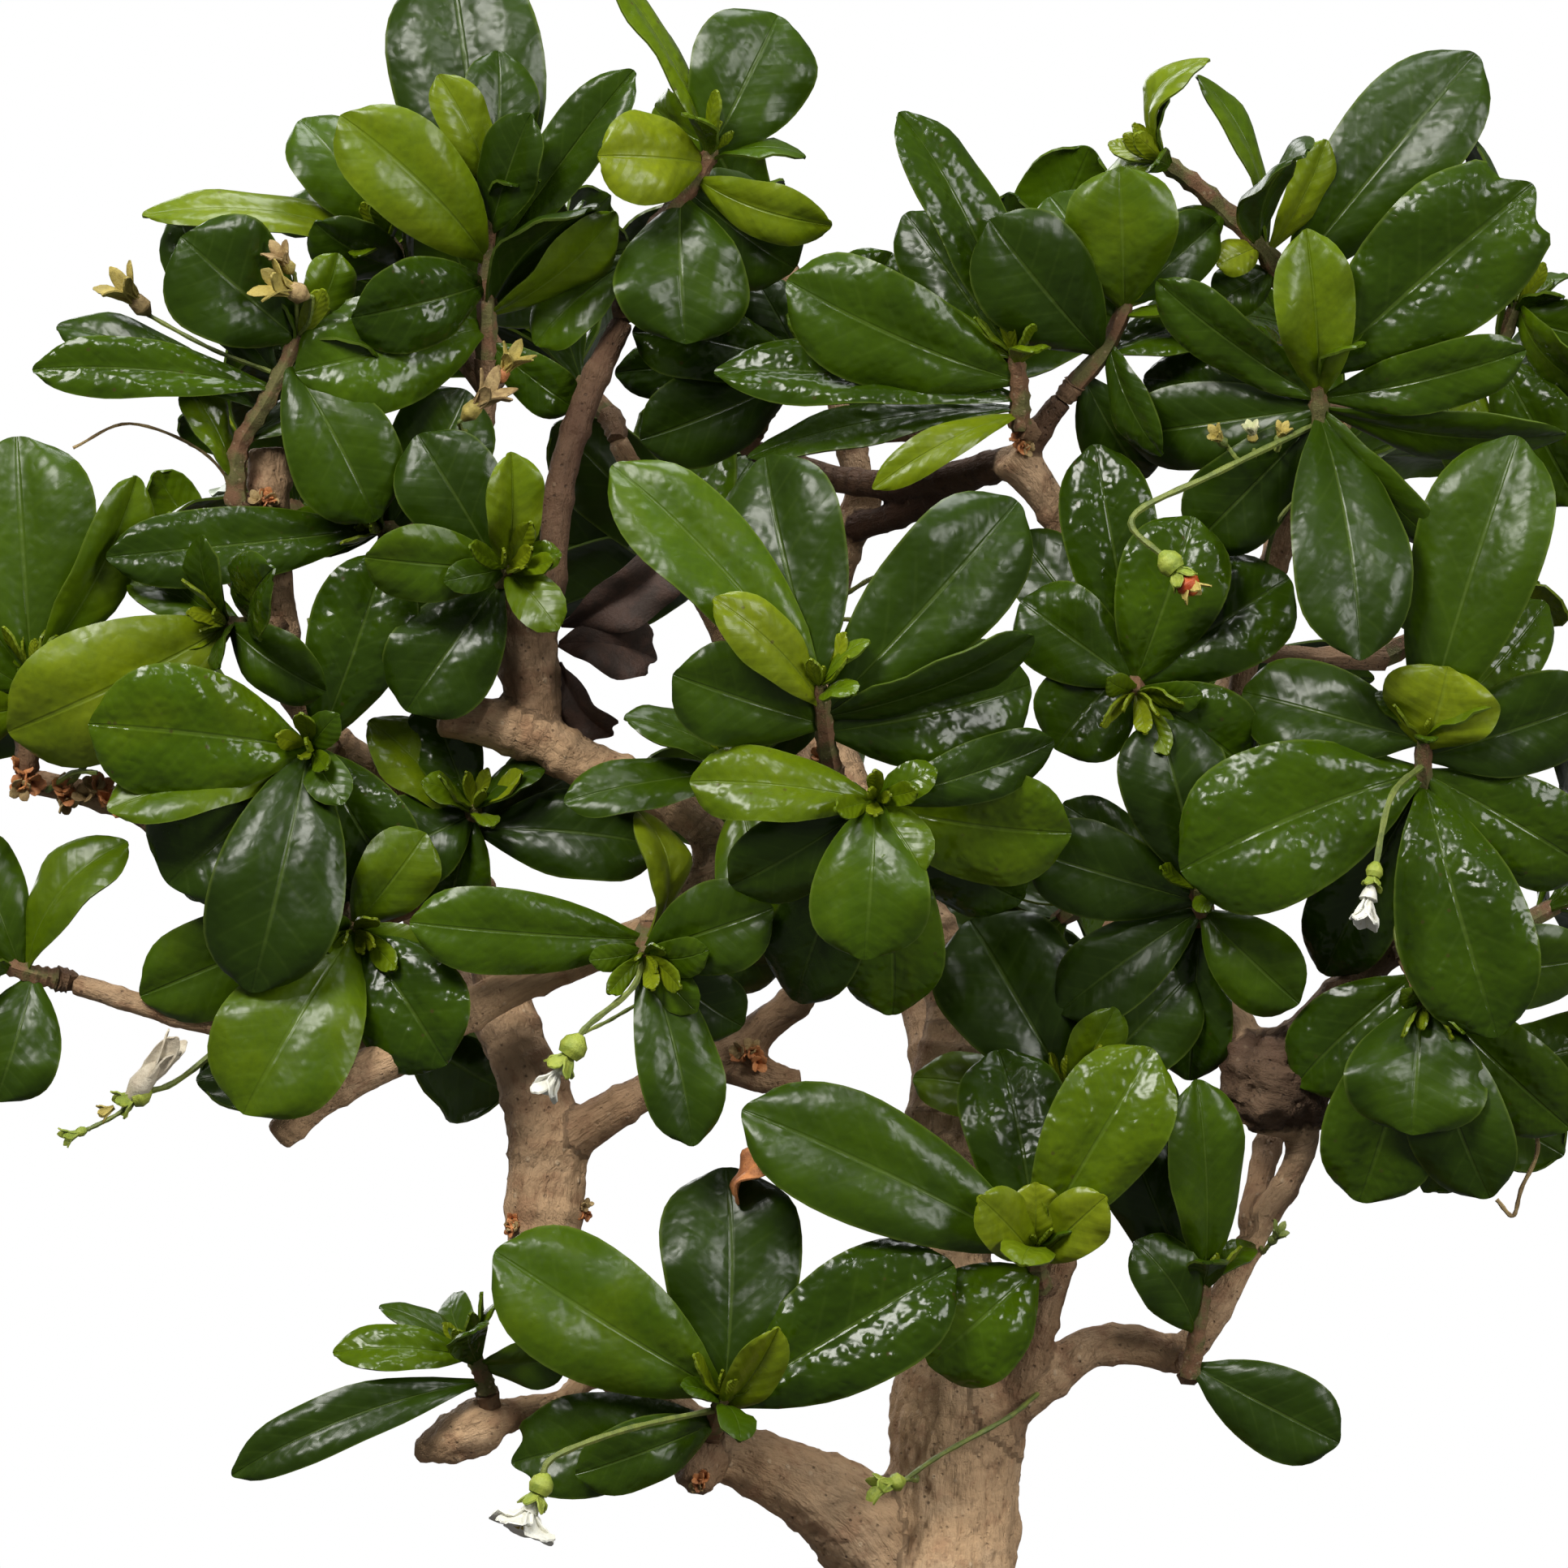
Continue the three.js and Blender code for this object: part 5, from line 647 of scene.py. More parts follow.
# The point of the stem that the view shows nearest to a place
def rootOn(stem, across, up):
    steps = ls["rootSteps"]
    spots = [alongStem(stem, i / steps) for i in range(ls["firstRoot"], steps + 1)]
    gaps = [math.dist(asSeen(spot), (across, up)) for spot in spots]
    return spots[gaps.index(min(gaps))]


def leafFromRow(stem, row, draw):
    base = rootOn(stem, row[0], row[1])
    leaf = {"base": base, "tip": seen([row[2], row[4] - base[1], row[3]]), "face": toViewer}
    leaf.update(zip(("width", "roll", "curl", "fold", "tone"), row[5:10]))
    leaf["wave"] = ls["drawnWave"] * draw()
    leaf["phase"] = ls["phase"] * draw()
    leaf["lobed"] = len(row) > 10
    return leaf


def leavesByRule(stem, count, draw):
    way = unit(stem[-1] - stem[0])
    side = sideOf(way)
    leaves = []
    for i in range(count):
        rank = i / count
        turn = math.radians(ls["turn"] * i + ls["turnSpread"] * draw())
        lean = math.radians(ls["lean"] - ls["leanRise"] * rank + ls["leanSpread"] * (draw() - 0.5))
        length = ls["length"] * within(draw, ls["lengthSpan"])
        towards = way * math.cos(lean) + turned(side, way, turn) * math.sin(lean)
        base = alongStem(stem, 1 - ls["rootSpan"] * (1 - rank))
        leaf = {"base": base, "tip": base + towards * length, "face": way}
        leaf["width"] = length * ls["widthShare"] * within(draw, ls["widthSpan"])
        leaf["roll"] = ls["rollSpread"] * (draw() - 0.5)
        leaf["curl"] = within(draw, ls["curl"])
        leaf["fold"] = within(draw, ls["fold"])
        leaf["wave"] = ls["wave"] * draw()
        leaf["phase"] = ls["phase"] * draw()
        leaf["tone"] = ls["toneFrom"] + ls["toneSpread"] * draw() * draw()
        leaf["tone"] += ls["toneRise"] * rank * draw()
        leaf["lobed"] = draw() < ls["lobedShare"]
        leaves.append(leaf)
    return leaves


patterns = {
    "plain": leafPattern(10, 15),
    "lobed": leafPattern(18, 15, True),
    "small": leafPattern(5, 7),
}


# Luck, from 0 to 1, twists, bows and ripples each blade its own way
def leafObject(leaf, luck):
    blade = patterns["small" if "small" in leaf else "lobed" if leaf["lobed"] else "plain"].copy()
    blade.data = blade.data.copy()
    bpy.context.scene.collection.objects.link(blade)
    half, share, rise = pointsOf(blade.data).T
    twist = (luck * 7.31 % 1 - 0.5) * ls["twist"] * (share - ls["twistFrom"])
    half = half + ls["bow"] * (luck * 13.7 % 1 - 0.5) * 4 * share * (1 - share)
    end = np.clip((share - ls["droopFrom"]) / (1 - ls["droopFrom"]), 0, 1)
    droop = ls["tipDroop"] * (ls["droopTone"] - leaf["tone"]) * end ** 2 / 14
    ripple = np.sin(7 * share + 20 * luck) * half
    ripple += 0.8 * np.sin(14 * share + 31 * luck + 3 * half) * half ** 2
    height = (rise + ls["ripple"] * ripple + half * np.sin(twist) / 2 - droop) * leaf["width"]
    setPoints(blade.data, bladePoints(leaf, share, half * np.cos(twist), height) * mm)
    setNotes(blade, tone=leaf["tone"], luck=luck)
    return blade


def smallLeaf(draw, base, tip, **look):
    leaf = {"roll": 0, "curl": 0.1, "fold": 12, "wave": 0.05, "phase": 0, "tone": 1, "small": True}
    return leafObject({**leaf, "base": base, "tip": tip, **look}, draw())


# Shoots: a stem with leaf scars, young leaves folded at its end and half grown ones just below

shootSettings = {
    "start": 1.35, "end": 1.0, "endShare": 0.6, "steps": 8, "sides": 10, "scar": 0.35, "tone": 0.3,
    "buds": 6, "budInner": 2, "budTurn": 60, "budLength": 4.6, "budSpan": (0.55, 0.9), "budOuter": 0.5,
    "budLean": (0.2, 0.3), "budLeanOuter": 0.45, "budWidth": 0.42, "budCurl": -0.08, "budFold": 24,
    "budTone": 0.95, "budToneDrop": 0.35,
    "collar": 3, "collarTurn": 80, "collarLength": 9, "collarSpan": (0.7, 0.7), "collarAt": (0.8, 0.5),
    "collarLean": (0.35, 0.5), "collarWidth": (0.48, 0.1), "collarRoll": 30, "collarTone": (0.25, 0.45),
}


def shootObjects(spray, draw):
    st = shootSettings
    run = smoothRun(spray["stem"], st["steps"])
    radii = np.linspace(st["start"], st["end"], len(run))
    radii[1::3] += st["scar"] * draw()
    radii[-1] *= st["endShare"]
    shoot = tube(run, radii, "shoot", st["sides"])
    setNotes(shoot, tone=st["tone"], luck=draw())
    way, end = unit(run[-1] - run[-3]), run[-1]
    young = []
    for i in range(st["buds"]):
        outer = i > st["budInner"]
        out = turned(sideOf(way), way, math.radians(ls["turn"] * i + st["budTurn"] * draw()))
        length = st["budLength"] * (within(draw, st["budSpan"]) + st["budOuter"] * outer)
        lean = within(draw, st["budLean"]) + st["budLeanOuter"] * outer
        young.append(smallLeaf(
            draw, end - way * 0.3, end + unit(way + out * lean) * length, face=way * 0.2 - out,
            width=length * st["budWidth"], curl=st["budCurl"], fold=st["budFold"], wave=0,
            tone=st["budTone"] - st["budToneDrop"] * outer * draw()))
    for i in range(st["collar"]):
        out = turned(sideOf(way), way, math.radians(ls["turn"] * i + st["collarTurn"] * draw()))
        length = st["collarLength"] * within(draw, st["collarSpan"])
        base = end - way * (st["collarAt"][0] + st["collarAt"][1] * i)
        tip = base + unit(way * within(draw, st["collarLean"]) + out) * length
        young.append(smallLeaf(
            draw, base, tip, face=way, width=length * within(draw, st["collarWidth"]),
            roll=st["collarRoll"] * (draw() - 0.5), phase=ls["phase"] * draw(),
            tone=within(draw, st["collarTone"])))
    return shoot, young


sprays = []
for name, (stem, extra, rows) in frontSprays.items():
    sprays.append({"name": name, "stem": seenAll(stem), "extra": extra, "rows": rows})
for i, (*stem, count) in enumerate(hiddenSprays):
    sprays.append({"name": f"back{i + 1:02d}", "stem": seenAll(stem), "extra": count, "rows": []})

placedCount = missedCount = 0
for i, spray in enumerate(sprays):
    seed = ls["seed"] + ls["seedStep"] * (i + 1)
    draw, ownDraw = drawFrom(seed), drawFrom(seed + ls["ownSeed"])
    tree = treeOf(pointsOf(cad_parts["spray_" + spray["name"]].data))
    wanted = [leafFromRow(spray["stem"], row, draw) for row in spray["rows"]]
    wanted += leavesByRule(spray["stem"], spray["extra"], draw)
    placed = [leaf for leaf in (bendOf(leaf, tree) for leaf in wanted) if leaf]
    blades = [leafObject(leaf, ownDraw()) for leaf in placed]
    placedCount += len(placed)
    missedCount += len(wanted) - len(placed)
    spray["shoot"], young = shootObjects(spray, ownDraw)
    spray["foliage"] = joinAll(blades + young, "foliage")
    useModifier(spray["foliage"], "SOLIDIFY", thickness=ls["thick"] * mm, offset=-1,
                material_offset=1, material_offset_rim=0, use_even_offset=False)
print("leaves placed:", placedCount, "not in the solids:", missedCount)

# Finishes

leafColours = {
    "tones": [(0.0, (0.012, 0.026, 0.001)), (0.2, (0.021, 0.045, 0.001)),
              (0.45, (0.046, 0.090, 0.001)), (0.7, (0.100, 0.152, 0.002)),
              (1.0, (0.190, 0.232, 0.006))],
    "deep": (0.014, 0.032, 0.003), "vein": (0.13, 0.20, 0.03), "midrib": (0.15, 0.22, 0.04),
    # the pale colour along the leaf edges is a painted edge highlight
    "edgeHighlight": (0.15, 0.21, 0.03), "speck": (0.055, 0.035, 0.012),
    "under": (0.050, 0.082, 0.018), "underYoung": (0.17, 0.22, 0.03),
    "underDeep": (0.03, 0.055, 0.01), "underVein": (0.21, 0.26, 0.08),
}


# From the midrib to the edge, along the leaf, and the distance to a side vein
def bladeOf(b):
    u, v = b.parts(b.put("UVMap", {"uv_map": "UVMap"}))[:2]
    side = b.maths("ABSOLUTE", u - 0.5) * 2
    return side, v, b.maths("PINGPONG", v * 7.5 - side * 1.7 + b.note("luck") * 3, 0.5)


def leafTop():
    b = Board("leafTop")
    place, tone, luck = b.place(), b.note("tone"), b.note("luck")
    side, v, veins = bladeOf(b)
    midrib = 1 - b.soft(side, 0.01, 0.05)
    fine = b.grain(place, 1.1, 4, 0.6)
    shade = tone + (b.grain(place, 0.11, 2) - 0.5) * 0.4 + (luck - 0.5) * 0.16
    layers = {
        "deep": b.soft(fine, 0.35, 0.75) * 0.2,
        "vein": (1 - b.soft(veins, 0.0, 0.12)) * b.soft(side, 0.95, 0.3) * 0.05,
        "midrib": midrib * b.soft(v, 1.0, 0.4) * 0.2,
        # a paler band all along each edge: a painted edge highlight
        "edgeHighlight": b.soft(side, 0.94, 1.0) * 0.3,
        "speck": b.dots(place, 0.34, 0.05, 0.12) * b.soft(luck, 0.6, 0.9) * 0.6,
    }
    green = b.ramp(shade, leafColours["tones"])
    for name, share in layers.items():
        green = b.mix(share, green, leafColours[name])
    shiny = b.soft(luck, 0.5, 0.85) * b.soft(tone, 0.75, 0.4)  # some old leaves, glossy and hammered
    rough = 0.31 - shiny * 0.12 + (fine - 0.5) * 0.12
    hammered = b.grain(place, 0.52, 1, 0.45) + b.dots(place, 0.62, 0.0, 0.55) * 0.3
    height = veins * 0.3 - midrib * 0.35 + b.grain(place, 0.22, 1, 0.4) * 0.9
    normal = b.bump(height + hammered * (0.6 + shiny * 0.7), 0.5, 0.5)
    return b.finish(Base_Color=green, Roughness=rough, Normal=normal, Specular_IOR_Level=0.27)


def leafUnder():
    b = Board("leafUnder")
    side, v, veins = bladeOf(b)
    midrib = 1 - b.soft(side, 0.02, 0.08)
    fine = b.grain(b.place(), 1.6, 4, 0.65)
    green = b.mix(b.note("tone"), leafColours["under"], leafColours["underYoung"])
    green = b.mix(b.soft(fine, 0.4, 0.7) * 0.5, green, leafColours["underDeep"])
    green = b.mix((1 - b.soft(veins, 0, 0.1)) * 0.2 + midrib * 0.5, green, leafColours["underVein"])
    normal = b.bump(midrib + fine * 0.4 - veins * 0.6, 0.5, 0.4)
    return b.finish(Base_Color=green, Roughness=0.5 + fine * 0.2, Normal=normal)


def shootSkin():
    b = Board("shootSkin")
    place = b.place()
    blotch = b.grain(place, 0.35, 3)
    fine = b.grain(place, 2.6, 5, 0.7)
    colour = b.mix(b.soft(blotch, 0.4, 0.6), (0.13, 0.12, 0.035), (0.19, 0.095, 0.045))
    colour = b.mix(b.soft(fine, 0.52, 0.7) * 0.7, colour, (0.05, 0.03, 0.015))
    colour = b.mix(b.dots(place, 0.9, 0.1, 0.22) * 0.6, colour, (0.36, 0.27, 0.16))
    return b.finish(Base_Color=colour, Roughness=0.62 + fine * 0.25, Normal=b.bump(fine, 0.6, 0.4))


# Each colour of the bark, where the limb is dark and where it is pale; on the limbs inside the crown the
# dark end is painted shade
barkColours = {
    "main": [(0.046, 0.021, 0.010), (0.58, 0.38, 0.215)],
    "drift": [(0.075, 0.036, 0.018), (0.63, 0.46, 0.30)],
    "young": [(0.055, 0.018, 0.005), (0.36, 0.17, 0.065)],
    "red": [(0.05, 0.02, 0.01), (0.30, 0.135, 0.065)],
    "streak": [(0.03, 0.017, 0.01), (0.25, 0.145, 0.07)],
    # dark colour for the sunk furrows: painted shade
    "furrowShade": [(0.07, 0.038, 0.018)] * 2,
    "strand": [(0.07, 0.038, 0.02)] * 2,
    # near-black for the sunk pits: painted shade
    "pitShade": [(0.035, 0.02, 0.012)] * 2,
    "dot": [(0.14, 0.09, 0.05), (0.72, 0.55, 0.37)],
    "damp": [(0.07, 0.085, 0.03)] * 2,
}


def barkSkin():
    b = Board("bark")
    place, path = b.place(), b.note("path", "Vector")  # the path is drawn out along each limb
    age, ridge, pale = b.note("age"), b.note("ridge"), b.note("pale")
    streak = b.grain(path, 0.8, 5, 0.62)
    strand = b.grain(path, 2.6, 5, 0.7)
    wide = b.grain(place, 0.09, 4, 0.6)
    fine = b.grain(place, 2.2, 6, 0.7)
    pits = b.dots(place, 0.8, 0.08, 0.2)
    dots = b.dots(b.stretch(place, (1, 1, 0.8)), 0.47, 0.07, 0.17)
    low = 1 - b.soft(b.parts(place)[2], 58, 76)  # damp and green towards the soil
    layers = {
        "drift": b.soft(wide, 0.42, 0.62) * 0.4,
        "young": (1 - age) * (0.45 - pale * 0.3),
        "red": b.soft(b.grain(place, 0.27, 4, 0.6), 0.5, 0.66) * (0.55 - age * 0.15),
        "streak": b.soft(streak, 0.5, 0.68) * (0.48 - age * 0.26),
        # darker in the furrows that giveBark sinks: painted shade in these recesses
        "furrowShade": (1 - b.soft(ridge, 0.05, 0.5)) * 0.42,
        "strand": b.soft(strand, 0.55, 0.7) * (0.5 - age * 0.2),
        # darker in the pits that the bump sinks: painted shade in these small hollows
        "pitShade": pits * b.soft(wide, 0.35, 0.6) * 0.6,
        "dot": dots * 0.5,
        "damp": low * b.soft(wide, 0.4, 0.6) * 0.4,
    }
    # dark to pale by limb: the bark's tone, and painted shade on the limbs inside the crown
    colour = b.mix(pale, *barkColours["main"])
    for name, share in layers.items():
        colour = b.mix(share, colour, b.mix(pale, *barkColours[name]))
    normal = b.bump(streak, 0.8, 1.1, b.bump(b.grain(place, 0.4, 3), 0.6, 1.2))
    normal = b.bump(strand * 0.6 + fine * 0.5 - pits * 0.4 + dots * 0.3, 0.8, 0.5, normal)
    rough = 0.52 + fine * 0.3 + age * 0.1
    return b.finish(Base_Color=colour, Roughness=rough, Normal=normal, Specular_IOR_Level=0.35)


# A plain plant finish: name, main colour, other colour, specks, roughness and size of the blotches
plantSettings = {
    "green": ("calyxGreen", (0.19, 0.23, 0.04), (0.12, 0.16, 0.03), (0.08, 0.07, 0.02), 0.5, 0.5),
    "lime": ("openCalyx", (0.34, 0.40, 0.05), (0.22, 0.29, 0.03), (0.10, 0.12, 0.02), 0.5, 0.5),
    "yellow": ("dryCalyx", (0.48, 0.38, 0.09), (0.29, 0.23, 0.05), (0.14, 0.08, 0.03), 0.6, 0.5),
    "petal": ("petal", (0.80, 0.80, 0.74), (0.72, 0.71, 0.62), (0.52, 0.44, 0.28), 0.45, 0.5),
    "cream": ("creamBud", (0.66, 0.62, 0.42), (0.50, 0.52, 0.28), (0.30, 0.24, 0.10), 0.5, 0.5),
    "fruit": ("redFruit", (0.52, 0.10, 0.02), (0.36, 0.045, 0.012), (0.10, 0.02, 0.01), 0.3, 0.5),
    "dead": ("deadLeaf", (0.048, 0.022, 0.013), (0.028, 0.014, 0.008), (0.012, 0.007, 0.005), 0.7, 0.5),
    "scale": ("budScale", (0.62, 0.25, 0.085), (0.38, 0.14, 0.05), (0.12, 0.045, 0.018), 0.6, 0.5),
    "beige": ("foldedPetal", (0.60, 0.54, 0.42), (0.50, 0.43, 0.32), (0.28, 0.21, 0.14), 0.6, 0.5),
    "withered": ("witheredPetal", (0.42, 0.30, 0.13), (0.22, 0.14, 0.055), (0.09, 0.05, 0.02), 0.7, 0.5),
    "soil": ("soil", (0.075, 0.044, 0.026), (0.038, 0.023, 0.015), (0.014, 0.009, 0.006), 0.9, 0.2),
    "grit": ("soilGrit", (0.20, 0.105, 0.055), (0.10, 0.055, 0.033), (0.04, 0.025, 0.018), 0.85, 0.2),
    "moss": ("moss", (0.055, 0.105, 0.016), (0.12, 0.165, 0.025), (0.028, 0.042, 0.01), 0.85, 0.25),
}


def plantSkin(name, main, other, speck, rough, size):
    b = Board(name)
    place = b.place()
    wide = b.grain(place, size, 3)
    fine = b.grain(place, size * 5, 5, 0.65)
    colour = b.mix(b.soft(wide, 0.38, 0.62), main, other)
    colour = b.mix(b.soft(fine, 0.55, 0.72) * 0.6, colour, speck)
    rough = rough + (fine - 0.5) * 0.3
    return b.finish(Base_Color=colour, Roughness=rough, Normal=b.bump(fine, 0.45, 0.4))


def glazeSkin():
    b = Board("glaze")
    place = b.place()
    drift = b.grain(b.stretch(place, (1, 1, 0.35)), 0.05, 4, 0.6)
    fine = b.grain(place, 0.8, 4, 0.6)
    up = b.parts(place)[2]
    thin = b.soft(up, 58.6, 59.8) + (1 - b.soft(b.maths("ABSOLUTE", up - 48.2), 0.2, 1.3)) * 0.6
    bare = 1 - b.soft(up + (drift - 0.5) * 5, 2.6, 3.6)
    colour = b.mix(b.soft(drift, 0.35, 0.65), (0.018, 0.050, 0.095), (0.035, 0.095, 0.15))
    colour = b.mix(b.dots(place, 0.55, 0.08, 0.2) * 0.4, colour, (0.10, 0.19, 0.24))
    colour = b.mix(thin * b.soft(fine, 0.3, 0.7) * 0.6, colour, (0.20, 0.12, 0.065))  # on the edges
    colour = b.mix(bare, colour, (0.23, 0.125, 0.07))
    rough = 0.3 + (drift - 0.5) * 0.16 + bare * 0.5
    return b.finish(Base_Color=colour, Roughness=rough, Normal=b.bump(fine * 0.3 + drift, 0.25, 1))


def netSkin():
    b = Board("drainNet")
    fine = b.grain(b.place(), 1.5, 4)
    colour = b.mix(fine, (0.012, 0.012, 0.013), (0.04, 0.038, 0.034))
    return b.finish(Base_Color=colour, Roughness=0.45 + fine * 0.3, Normal=b.bump(fine, 0.4, 0.3))


# In metres
floorSettings = {"radius": 3.9, "under": 0.0004, "fadeFrom": 0.3, "fadeTo": 1.1}


def floorSkin():
    b = Board("paleFloor")
    place = b.put("TexCoord", out="Object")
    fine = b.grain(place, 60, 3)
    colour = b.mix(fine, (0.80, 0.80, 0.79), (0.86, 0.86, 0.85))
    b.finish(Base_Color=colour, Roughness=0.6 + fine * 0.1)
    away = b.put("VectorMath", {"operation": "LENGTH"}, {0: place}, out="Value")
    glow = b.put("Emission", {}, {"Color": (1, 1, 1), "Strength": 1})
    ground = Wire(b, b.shader.outputs[0])
    fade = b.soft(away, floorSettings["fadeFrom"], floorSettings["fadeTo"])  # into the white
    both = b.put("MixShader", {}, {0: fade, 1: ground, 2: glow})
    b.plug(b.tree.nodes["Material Output"].inputs["Surface"], both)
    return b.material


skins = {"top": leafTop(), "under": leafUnder(), "shoot": shootSkin(), "bark": barkSkin()}
for key, row in plantSettings.items():
    skins[key] = plantSkin(*row)
skins.update(glaze=glazeSkin(), net=netSkin(), floor=floorSkin())
print("finishes mixed:", len(skins))

# Wood: every limb and root as a tube, fused by a voxel remesh, then given its bark

woodSettings = {
    "steps": 6, "sides": 16, "voxel": 0.72, "soften": 3, "nearby": 7, "girthShare": 0.7,
    "oldFrom": 2, "oldSpan": 5, "pathAround": 0.9, "pathAlong": 0.16, "ridge": 2.6, "ridgeScale": 0.9,
    "knobs": 0.09, "knobScale": 0.16, "flakes": 0.2, "flakeScale": 0.75, "flakeYoung": 0.45,
    "fissures": 0.5,
    "nodeGap": 8.5, "nodeRise": 0.14, "nodeAt": 3, "nodeWidth": 0.8, "nodeDrift": 0.05,
    "lumps": {"burl": 1.2, "leftSpur": 0.5, "fork": 0.5, "cutKnob": 0.5, "sideKnob": 0.4},
    "lumpScale": 0.42, "lumpFine": 0.95, "paleDrift": 0.25, "paleScale": 0.07, "usualPale": 0.7,
    # How pale each limb is: its bark tone, and for burl, brownBack, brownLow and darkStem, which lie inside
    # the crown, painted shade as well
    "pale": {"trunk": 1, "crossing": 1, "leftSpur": 1, "rightLimb": 1, "tanBranch": 0.9,
             "leftTwig": 0.9, "leftLimb": 0.85, "leftUpper": 0.6, "fork": 0.6, "sideBranch": 0.6,
             "redStem": 0.17, "forkLeft": 0.35, "rightUpper": 0.4, "rightRise": 0.5, "burl": 0.12,
             "brownBack": 0.08, "brownLow": 0.05, "darkStem": 0.1, "cutKnob": 0.5},
    "roots": 5, "rootTurn": 0.5, "rootHeight": 59, "rootDive": 1.55, "rootReach": 30,
    "rootShorter": 0.12, "rootRow": [(0.1, 6.5), (0.45, 4.7), (0.75, 3.3), (1, 1.8)],
    "twigStart": 1.25, "twigEnd": 1.5, "twigSteps": 6, "twigBend": 0.4, "twigNode": 0.2,
    "twigPale": 0.4,
}
ws = woodSettings
limbRuns = {}
for name, rows in limbs.items():
    limbRuns[name] = smoothRun([(*seen(row), row[3]) for row in rows], ws["steps"])
trunkFoot = seen(limbs["trunk"][3])
for i in range(ws["roots"]):
    angle = ws["rootTurn"] + 2 * math.pi * i / ws["roots"]
    out = np.array([math.cos(angle), math.sin(angle), 0])
    reach = ws["rootReach"] * (1 - ws["rootShorter"] * (i % 3))
    rows = []
    for step, (share, radius) in enumerate(ws["rootRow"]):
        level = ws["rootHeight"] - step * (ws["rootDive"] + ws["rootDive"] * step)
        rows.append((*(np.array([trunkFoot[0], 0, level]) + out * reach * share), radius))
    limbRuns[f"root{i}"] = smoothRun(rows, ws["steps"])

limbTubes = [tube(run[:, :3], run[:, 3], name, ws["sides"]) for name, run in limbRuns.items()]
wood = joinAll(limbTubes, "wood")
useModifier(wood, "REMESH", mode="VOXEL", voxel_size=ws["voxel"] * mm)
useModifier(wood, "SMOOTH", factor=0.5, iterations=ws["soften"])

# Each point of the bark knows its limb: how thick it is and how far along it lies
guides = []
for name, run in limbRuns.items():
    gone = 0
    lumps, pale = ws["lumps"].get(name, 0), ws["pale"].get(name, ws["usualPale"])
    for i in range(len(run) - 1):
        step = run[i + 1, :3] - run[i, :3]
        guides.append((run[i, :3], run[i, 3], unit(step), gone, lumps, pale))
        gone += np.linalg.norm(step)
guideTree = treeOf([guide[0] for guide in guides])


def giveBark(obj):
    co = pointsOf(obj.data) / mm
    normals = np.empty(len(co) * 3)
    obj.data.vertices.foreach_get("normal", normals)
    ages, ridges, pales, rises = np.empty((4, len(co)))
    paths = np.empty((len(co), 3))
    for k, spot in enumerate(co):
        hits = guideTree.find_n(spot, ws["nearby"])
        hits.sort(key=lambda hit: hit[2] - guides[hit[1]][1])  # how far outside the limb
        nearest = [guides[hit[1]] for hit in hits[:3]]
        point, girth, way, gone, lumps, pale = nearest[0]
        girth = max(girth, ws["girthShare"] * nearest[1][1], ws["girthShare"] * nearest[2][1])
        off = spot - point
        along = float(np.dot(off, way))
        spot = Vector(spot)
        around = off - way * along
        path = Vector(around * ws["pathAround"] + way * (gone + along) * ws["pathAlong"])
        ridge = abs(noise.noise(path * ws["ridgeScale"] + Vector((gone * 0.02, 0, 0))))
        ridge = 1 - max(min(1 - ridge * ws["ridge"], 1), 0) ** 3
        old = min(max((girth - ws["oldFrom"]) / ws["oldSpan"], 0), 1)
        rise = girth * ws["knobs"] * noise.noise(spot * ws["knobScale"])
        rise += ws["flakes"] * (ws["flakeYoung"] + old) * noise.noise(spot * ws["flakeScale"])
        rise -= ws["fissures"] * old * (1 - ridge)
        node = (gone + along + 3 * noise.noise(Vector(point) * ws["nodeDrift"])) % ws["nodeGap"]
        swell = math.exp(-((node - ws["nodeAt"]) / ws["nodeWidth"]) ** 2)
        rise += (1 - old) * girth * ws["nodeRise"] * swell
        if lumps:
            coarse, small = noise.noise(spot * ws["lumpScale"]), noise.noise(spot * ws["lumpFine"])
            rise += lumps * (coarse + 0.5 * small)
        ages[k], ridges[k], rises[k] = old, ridge * old + (1 - old), rise
        pales[k] = pale + ws["paleDrift"] * noise.noise(spot * ws["paleScale"])
        paths[k] = path
    setPoints(obj.data, (co + normals.reshape(-1, 3) * rises[:, None]) * mm)
    setNotes(obj, age=ages, ridge=ridges, pale=np.clip(pales, 0, 1), path=paths)


giveBark(wood)

# Twigs lead from the nearest wood to the foot of each spray
woodLine = []
for rows in limbs.values():
    spots = seenAll(rows)
    for a, b in zip(spots, spots[1:]):
        woodLine += [a + (b - a) * (k + 1) / ws["steps"] for k in range(ws["steps"])]
woodLine = np.array(woodLine)
twigs = []
for spray in sprays:
    foot = spray["stem"][0]
    start = woodLine[np.argmin(np.linalg.norm(woodLine - foot, axis=1))]
    run = np.array([start + (foot - start) * t for t in np.linspace(0, 1, ws["twigSteps"] + 1)])
    for spot in run[1:-1]:
        drift = [noise.noise(Vector(spot) * 0.2 + Vector((k, 0, 0))) for k in range(3)]
        spot += np.array(drift) * ws["twigBend"]
    radii = np.linspace(ws["twigStart"], ws["twigEnd"], len(run))
    radii[2::2] += ws["twigNode"]
    twig = tube(run, radii, "twig", 10)
    off = pointsOf(twig.data) / mm - start
    way = unit(foot - start)
    paths = off - np.outer(off @ way, way) * (1 - ws["pathAlong"])
    setNotes(twig, age=0, ridge=1, pale=ws["twigPale"], path=paths)
    twigs.append(twig)
wood = joinAll([wood] + twigs, "wood")
settle(wood, skins["bark"])
pieceOf([wood], "trunk_with_bark", "trunk_and_branches", 60)
print("wood:", len(wood.data.polygons), "faces")

# Flowers, stalks, cups, buds and dry remains. Petals have a length, a width and a lean

